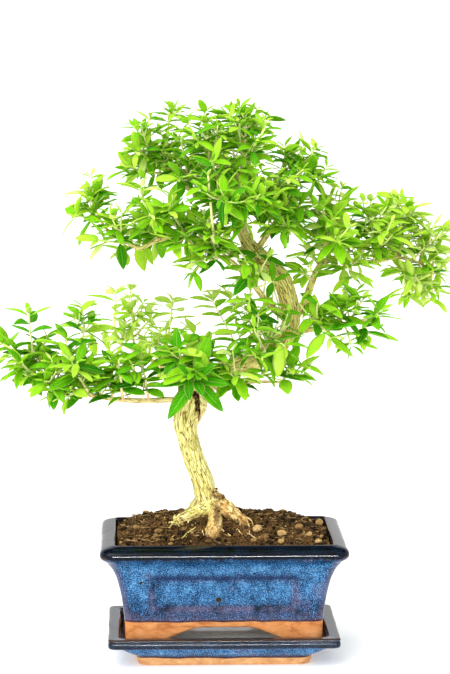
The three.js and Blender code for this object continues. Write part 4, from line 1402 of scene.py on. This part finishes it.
# Places that stay clear of leaves as seen from the front: both ends of a line in the plane y = 0,
# how far round it, and how far back the clearing reaches.
CLEARINGS = [
    ((17, 341), (32, 324), 3.5, 4), ((32, 324), (55, 299), 6, 0), ((55, 299), (63, 284), 6, 0),
    ((63, 284), (61.6, 272), 6, 0), ((33, 300), (48, 293), 6.5, 200), ((43, 273), (53, 268), 5, 200),
    ((-6.8, 339.6), (-11.6, 389.9), 1.8, -62), ((8, 235), (29, 238), 4, 3),
    ((73, 324), (81, 294), 3.5, 5), ((-40, 206), (-60, 210), 3, 200),
    ((-60, 210), (-95, 213), 2.5, 200), ((-22, 214), (-18, 196), 5, 0),
]


def in_clearing(point):
    """Whether a place hides a part of the tree that the clearings leave open."""
    eye_x, eye_y, eye_z = (c / MM for c in CAMERA_PLACE)
    share = eye_y / (eye_y - point[1])
    x, z = eye_x + (point[0] - eye_x) * share, eye_z + (point[2] - eye_z) * share
    for (x0, z0), (x1, z1), reach, back in CLEARINGS:
        if point[1] < back:
            along = ((x - x0) * (x1 - x0) + (z - z0) * (z1 - z0)) / ((x1 - x0) ** 2 + (z1 - z0) ** 2)
            along = min(1, max(0, along))
            if math.hypot(x - x0 - along * (x1 - x0), z - z0 - along * (z1 - z0)) < reach:
                return True
    return False


def level_across(direction):
    """A nearly level direction at right angles to the given one."""
    return unit(np.cross(direction, UP + 0.01))


def stem_path(points, radii):
    """A path through the points with a radius at each, in even steps for a tube."""
    return resampled(np.column_stack([points, radii]), STEM_STEP)


class Sprig:
    """Leaves and stems that make up one piece."""

    def __init__(self, seed, leaf_length, paleness=0.0, gap=2.4, branching=0.34):
        self.rng = random.Random(seed)
        self.leaf_length = leaf_length
        self.paleness = paleness
        self.gap = gap
        self.branching = branching
        self.leaves, self.stems = [], []

    def leaf(self, base, along, up, length, tone, hang):
        """Adds a leaf where it has room, or a shorter one a little to the side, or none."""
        rng = self.rng
        for attempt in range(3):
            direction = unit(along + np.array([rng.gauss(0, 0.07 + 0.12 * attempt) for _ in range(3)]))
            normal = unit(up - direction * up.dot(direction))
            roll = rng.gauss(0, 0.3)
            normal = normal * math.cos(roll) + np.cross(direction, normal) * math.sin(roll)
            bend = max(0.08, rng.gauss(0.3, 0.18) + hang)
            size = length * rng.uniform(0.88, 1.1) * (1 - 0.14 * attempt)
            spots = []
            for t in LEAF_SPOTS:
                forward, down = math.sin(bend * t) / bend, (1 - math.cos(bend * t)) / bend
                spots.append(tuple(base + direction * size * forward - normal * size * down))
            if not any(in_clearing(spot) for spot in spots) and has_room(spots, self.gap):
                for spot in spots:
                    take(spot)
                width = size * rng.uniform(0.33, 0.44)
                shade = min(0.86, max(0, tone + rng.gauss(0, 0.14) + self.paleness))
                fold, twist, wave = rng.uniform(0.18, 0.52), rng.gauss(0, 0.22), rng.gauss(0, 0.07)
                self.leaves.append((base, direction, normal, (size, width, fold, bend, twist, wave, shade)))
                return

    def shoot(self, path, order, young, pairs=7, scale=1.0, hang=0.0):
        """A stem with leaf pairs from its tip down, each turned a quarter against the last."""
        rng = self.rng
        total = lengths_along(path)[-1]
        self.stems.append((path, young))
        phase = rng.random() * math.pi
        spacing = rng.uniform(0.82, 1.12) * (0.78 + 0.22 * self.leaf_length / 22)
        for i, (from_tip, longer, spread) in enumerate(PAIRS[:pairs]):
            back = from_tip * spacing
            if back > total * 0.93:
                break
            at, tangent = place_on(path, total - back)
            flat = level_across(tangent)
            angle = phase + i * math.pi / 2 + rng.gauss(0, 0.16)
            across = flat * math.cos(angle) + np.cross(tangent, flat) * math.sin(angle)
            spread = math.radians(spread + rng.gauss(0, 7))
            length = self.leaf_length * longer * scale
            tone = 0.66 - 0.09 * min(i, 4)
            for sign in (1, -1):
                along = tangent * math.cos(spread) + across * sign * math.sin(spread)
                along = unit(along * (1, 1, 0.6) + UP * 0.06)
                self.leaf(at, along, tangent * 0.3 + UP, length, tone, hang)
                if i >= 2 and order < 2 and rng.random() < self.branching:
                    self.side_shoot(at, tangent, across * sign, order, scale)

    def side_shoot(self, at, tangent, across, order, scale):
        rng = self.rng
        length = rng.uniform(9, 20)
        direction = unit(tangent * 0.55 + across * 0.7 + UP * rng.uniform(0.1, 0.5))
        end = at + direction * length + UP * length * 0.12
        middle = at + direction * length * 0.5
        path = stem_path([at, middle, end], [0.8, 0.7, 0.55])
        self.shoot(path, order + 1, (0.7, 1.0), pairs=3 if length < 13 else 4, scale=scale * 0.84)

    def make(self, name, replaced=()):
        shape = Shape()
        if self.leaves:
            count = len(self.leaves)
            offsets = (np.arange(count) * len(LEAF))[:, None, None]
            tones = np.array([numbers[-1] for *_, numbers in self.leaves])
            along, across, under = (np.tile(column, count) for column in LEAF.T)
            shape.add(
                leaf_verts(self.leaves).reshape(-1, 3),
                LEAF_QUADS[None] + offsets,
                LEAF_TRIS[None] + offsets,
                tone=np.repeat(tones, len(LEAF)), across=across, along=along, under=under,
            )
        sides = 6
        for path, (old, new) in self.stems:
            rows = np.linspace(old, new, len(path))
            tone = np.concatenate([[old] * sides, np.repeat(rows, sides), [new] * sides, [old, new]])
            shape.add(*tube(path, sides), material=1, tone=tone, across=0.0, along=0.0, under=0.0)
        new_object(name, shape.mesh(name), [LEAF_LOOK, STEM_LOOK], replaced)


def stem_route(base, tip, thick, thin):
    """A stem that leaves its base fairly level and then rises towards its tip."""
    base, tip = np.asarray(base, float), np.asarray(tip, float)
    middle = base + (tip - base) * (0.6, 0.6, 0.35)
    steps = 15
    t = np.linspace(0, 1, steps)[:, None]
    points = base * (1 - t) ** 2 + middle * 2 * t * (1 - t) + tip * t ** 2
    wave = 0.5 * np.sin(np.linspace(0, 9, steps))[:, None] * (t * (1 - t) * 4)
    return stem_path(points + wave * level_across(tip - base), np.linspace(thick, thin, steps))


def paleness_at(y):
    """Leaves far behind look paler, because more light comes through them."""
    return 0.14 * float(smoothstep(15, 70, y))


def dress_limb(name, limb, seed):
    """The limb's sprays, each in the place of its CAD node."""
    curve = smooth_curve(limb.path, 1.0)
    total = lengths_along(curve)[-1]
    for number, (share, tip, *further_tips) in enumerate(limb.sprays, 1):
        base, _ = place_on(curve, total * share)
        paleness = paleness_at(tip[1]) + limb.paler
        sprig = Sprig(seed * 100 + number, limb.leaf_length, paleness, limb.gap, limb.branching)
        main = stem_route(base, tip, 1.4, 0.75)
        sprig.shoot(main, 0, (0.1, 0.95), hang=limb.hang)
        reach = lengths_along(main)[-1]
        for i, further_tip in enumerate(further_tips):
            fork, _ = place_on(main, reach * (0.3 + 0.2 * i))
            sprig.shoot(stem_route(fork, further_tip, 1.15, 0.7), 0, (0.3, 0.95), hang=limb.hang)
        sprig.make(f"foliage_{name}_{number}", [f"spray_{name}_{number}"])


def dress_twigs(name, limb, seed):
    """Short leafy twigs along the limb itself."""
    curve = smooth_curve(limb.path, 1.0)
    total = lengths_along(curve)[-1]
    sprig = Sprig(seed, limb.leaf_length * 0.9, paleness_at(curve[-1, 1]) + limb.paler)
    rng = sprig.rng
    place = max(total * 0.3, 16)
    while place < total * 0.97:
        at, tangent = place_on(curve, place)
        sideways, upwards, onwards = rng.uniform(-1, 1), rng.uniform(0.45, 1.0), rng.uniform(0, 0.6)
        direction = unit(level_across(tangent) * sideways + UP * upwards + tangent * onwards)
        length = rng.uniform(13, 25)
        path = stem_path([at, at + direction * length * 0.5, at + direction * length], [0.95, 0.8, 0.6])
        sprig.shoot(path, 1, (0.2, 0.9), pairs=rng.choice((3, 4, 4)))
        place += rng.uniform(10, 16)
    sprig.make(f"twigs_{name}")


# Leaves placed one by one, because they stand alone in front of the wood. Each group has the start
# of its stem, the place where its leaves start, the side they face, how pale they are, and the end
# and the width of each leaf.
HANGING_LEAVES = [
    ((-27, -39, 234), (-23.5, -62, 234), (0, -0.8, 0.6), (0.14, 0.32), [
        ((-46.7, -68, 204), 13), ((0, -68, 210), 11), ((-12.4, -62, 270), 13.5), ((-56, -64, 231), 9),
        ((4, -70, 233), 10), ((-37, -72, 249), 8), ((-18, -82, 226), 9), ((-8, -74, 250), 8),
    ]),
]
TRUNK_LEAVES = [
    ((50, -4, 275), (40.2, -20, 307.9), (0, -0.7, 0.7), (0.2, 0.5), [
        ((39.2, -24, 325), 6.5), ((53.5, -26, 315.5), 5.2), ((23.9, -16, 318), 5.6), ((35.3, -24, 295), 7),
    ]),
    ((32, 0, 324), (27.8, -18, 329.5), (0, -0.6, 0.8), (0.05, 0.3), [
        ((54.3, -14, 321), 6.8), ((13, -22, 325), 6.4), ((5.8, -14, 333), 6.8), ((35, -30, 340), 5.5),
    ]),
    ((13, -27, 319), (13.8, -26, 318.5), (0, -0.8, 0.6), (0.0, 0.2), [((20.5, -30, 305.5), 6.5)]),
    ((36, -26, 259), (27, -30, 281.5), (0, -0.8, 0.6), (0.0, 0.35), [
        ((17.4, -31, 300.5), 7.5), ((27.5, -36, 267), 7.4), ((35, -34, 288), 4.6), ((13.5, -34, 281), 5.2),
        ((45, -36, 277), 5.4),
    ]),
    ((52, -4, 283), (47, -22, 284), (0, -0.6, 0.8), (0.2, 0.4), [((64, -27, 283.5), 5.4)]),
]


def make_placed_leaves(name, seed, groups):
    sprig = Sprig(seed, 30)
    rng = sprig.rng
    for base, centre, side, (dark, pale), ends in groups:
        sprig.stems.append((stem_route(base, centre, 1.1, 0.8), (0.3, 0.9)))
        centre, side = np.array(centre, float), np.array(side)
        for tip, width in ends:
            reach = np.array(tip) - centre
            along = unit(reach)
            facing = unit(side - along * along.dot(side))
            length = float(np.linalg.norm(reach))
            for t in (0.3, 0.5, 0.7, 0.9):
                take(tuple(centre + reach * t))
            fold, twist, shade = rng.uniform(0.2, 0.4), rng.gauss(0, 0.15), rng.uniform(dark, pale)
            sprig.leaves.append((centre, along, facing, (length, width, fold, 0.25, twist, 0.04, shade)))
    sprig.make(name)


# Straight pale shoots from the older wood: base, tip, radius at the base, leaf length, leaf pairs
# and how much paler they are.
WATER_SHOOTS = [
    ((0, -32, 331), (-8.4, -60, 345), 1.3, 17, 0, 0), ((-8.4, -60, 345), (-13.1, -64, 396), 1.3, 17, 2, 0),
    ((-9, -13, 402), (-4.5, -30, 434), 1.0, 17, 4, 0), ((28, -12, 366), (25, -46, 402), 1.0, 18, 4, 0),
    ((34, 11, 243), (19, -14, 282), 1.1, 24, 7, -0.1), ((20, 10, 237), (-8, 20, 289), 0.9, 22, 6, 0.25),
    ((34, 11, 244), (3, 32, 296), 0.9, 22, 6, 0.3), ((6, 8, 232), (-27, 42, 263), 0.9, 22, 6, 0.25),
    ((50, 9, 258), (14, 26, 284), 0.9, 21, 6, 0.25), ((20, 10, 237), (12, -20, 268), 1.0, 24, 6, 0),
]


def make_water_shoots():
    sprig = Sprig(71, 17)
    t = np.linspace(0, 1, 12)[:, None]
    for base, tip, thick, leaf_length, pairs, paler in WATER_SHOOTS:
        sprig.leaf_length, sprig.paleness = leaf_length, paler
        line = np.array(base) * (1 - t) + np.array(tip) * t
        path = np.column_stack([line, np.linspace(thick, thick * 0.7, len(t))])
        sprig.shoot(path, 2, (0.5, 0.7), pairs=pairs)
    sprig.make("water_shoots")


make_placed_leaves("hanging_leaves", 72, HANGING_LEAVES)
make_placed_leaves("trunk_leaves", 73, TRUNK_LEAVES)
make_water_shoots()
for seed, (name, limb) in enumerate([*LIMBS.items(), ("apex", APEX)], 1):
    dress_limb(name, limb, seed)
for seed, (name, limb) in enumerate(LIMBS.items(), 51):
    dress_twigs(name, limb, seed)


# ---------------- drainage screens

def screen_look():
    """A woven plastic mesh."""
    look = Look("woven_screen", Roughness=0.5)
    strands_x, strands_y = (look.mm.axis(letter).math("PINGPONG", 1.0).step(0.45, 0.7) for letter in "XY")
    weave = strands_x.math("MAXIMUM", strands_y)
    look.set(Base_Color=weave.mix((10, 14, 11), (44, 66, 48)))
    look.bump(weave, 0.8, 0.5)
    return look.material


SCREEN_LOOK = screen_look()
for side in ("left", "right"):
    for material_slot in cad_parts[f"drainage_screen_{side}"].material_slots:
        material_slot.material = SCREEN_LOOK


# ---------------- studio

def make_floor():
    """A pale floor that glows a little."""
    half = 60
    corners = [(-half, -half, 0), (half, -half, 0), (half, half, 0), (-half, half, 0)]
    data = bpy.data.meshes.new("floor")
    data.from_pydata(corners, [], [(0, 1, 2, 3)])
    look = Look(
        "pale_floor", Base_Color=(0.98, 0.98, 0.98, 1), Roughness=0.7, Specular_IOR_Level=0.2,
        Emission_Color=(1, 1, 1, 1), Emission_Strength=0.15,
    )
    data.materials.append(look.material)
    add_object("floor", data)


def make_world():
    """A white studio. Gloss alone sees a dark board overhead at the back, which keeps tops dark."""
    world = bpy.data.worlds.new("studio")
    tree = Tree(world)
    direction = tree.add("TexCoord", {}, "Generated")
    board = direction.axis("Z").step(0.4, 0.62) * direction.axis("Y").step(0.02, 0.25)
    board = board * tree.add("LightPath", {}, "Is Glossy Ray")
    background = tree.nodes["Background"].inputs
    tree.plug(background["Color"], board.mix(1, 0.06))
    background["Strength"].default_value = 1.06
    bpy.context.scene.world = world
    bpy.context.scene.view_settings.view_transform = "Standard"


def strip_light():
    """A low strip behind the camera that shows only as a bright line on the glazed rims."""
    data = bpy.data.lights.new("strip", "AREA")
    data.shape = "RECTANGLE"
    data.size, data.size_y = 2.4, 0.1
    data.energy = 340
    light = add_object("strip", data, facing=(0, 1, -0.1))
    light.location = (0, -2.9, 0.42)
    light.visible_diffuse = False
    glazed = bpy.data.collections.new("glazed_pieces")
    for name in ("pot_body", "tray_body"):
        glazed.objects.link(bpy.data.objects[name])
    light.light_linking.receiver_collection = glazed


def key_light():
    """Soft light from the front, the left and above."""
    data = bpy.data.lights.new("key", "SUN")
    data.energy = 2.6
    data.angle = math.radians(55)
    add_object("key", data, facing=(0.6, 0.75, -0.95))


make_floor()
make_world()
strip_light()
key_light()
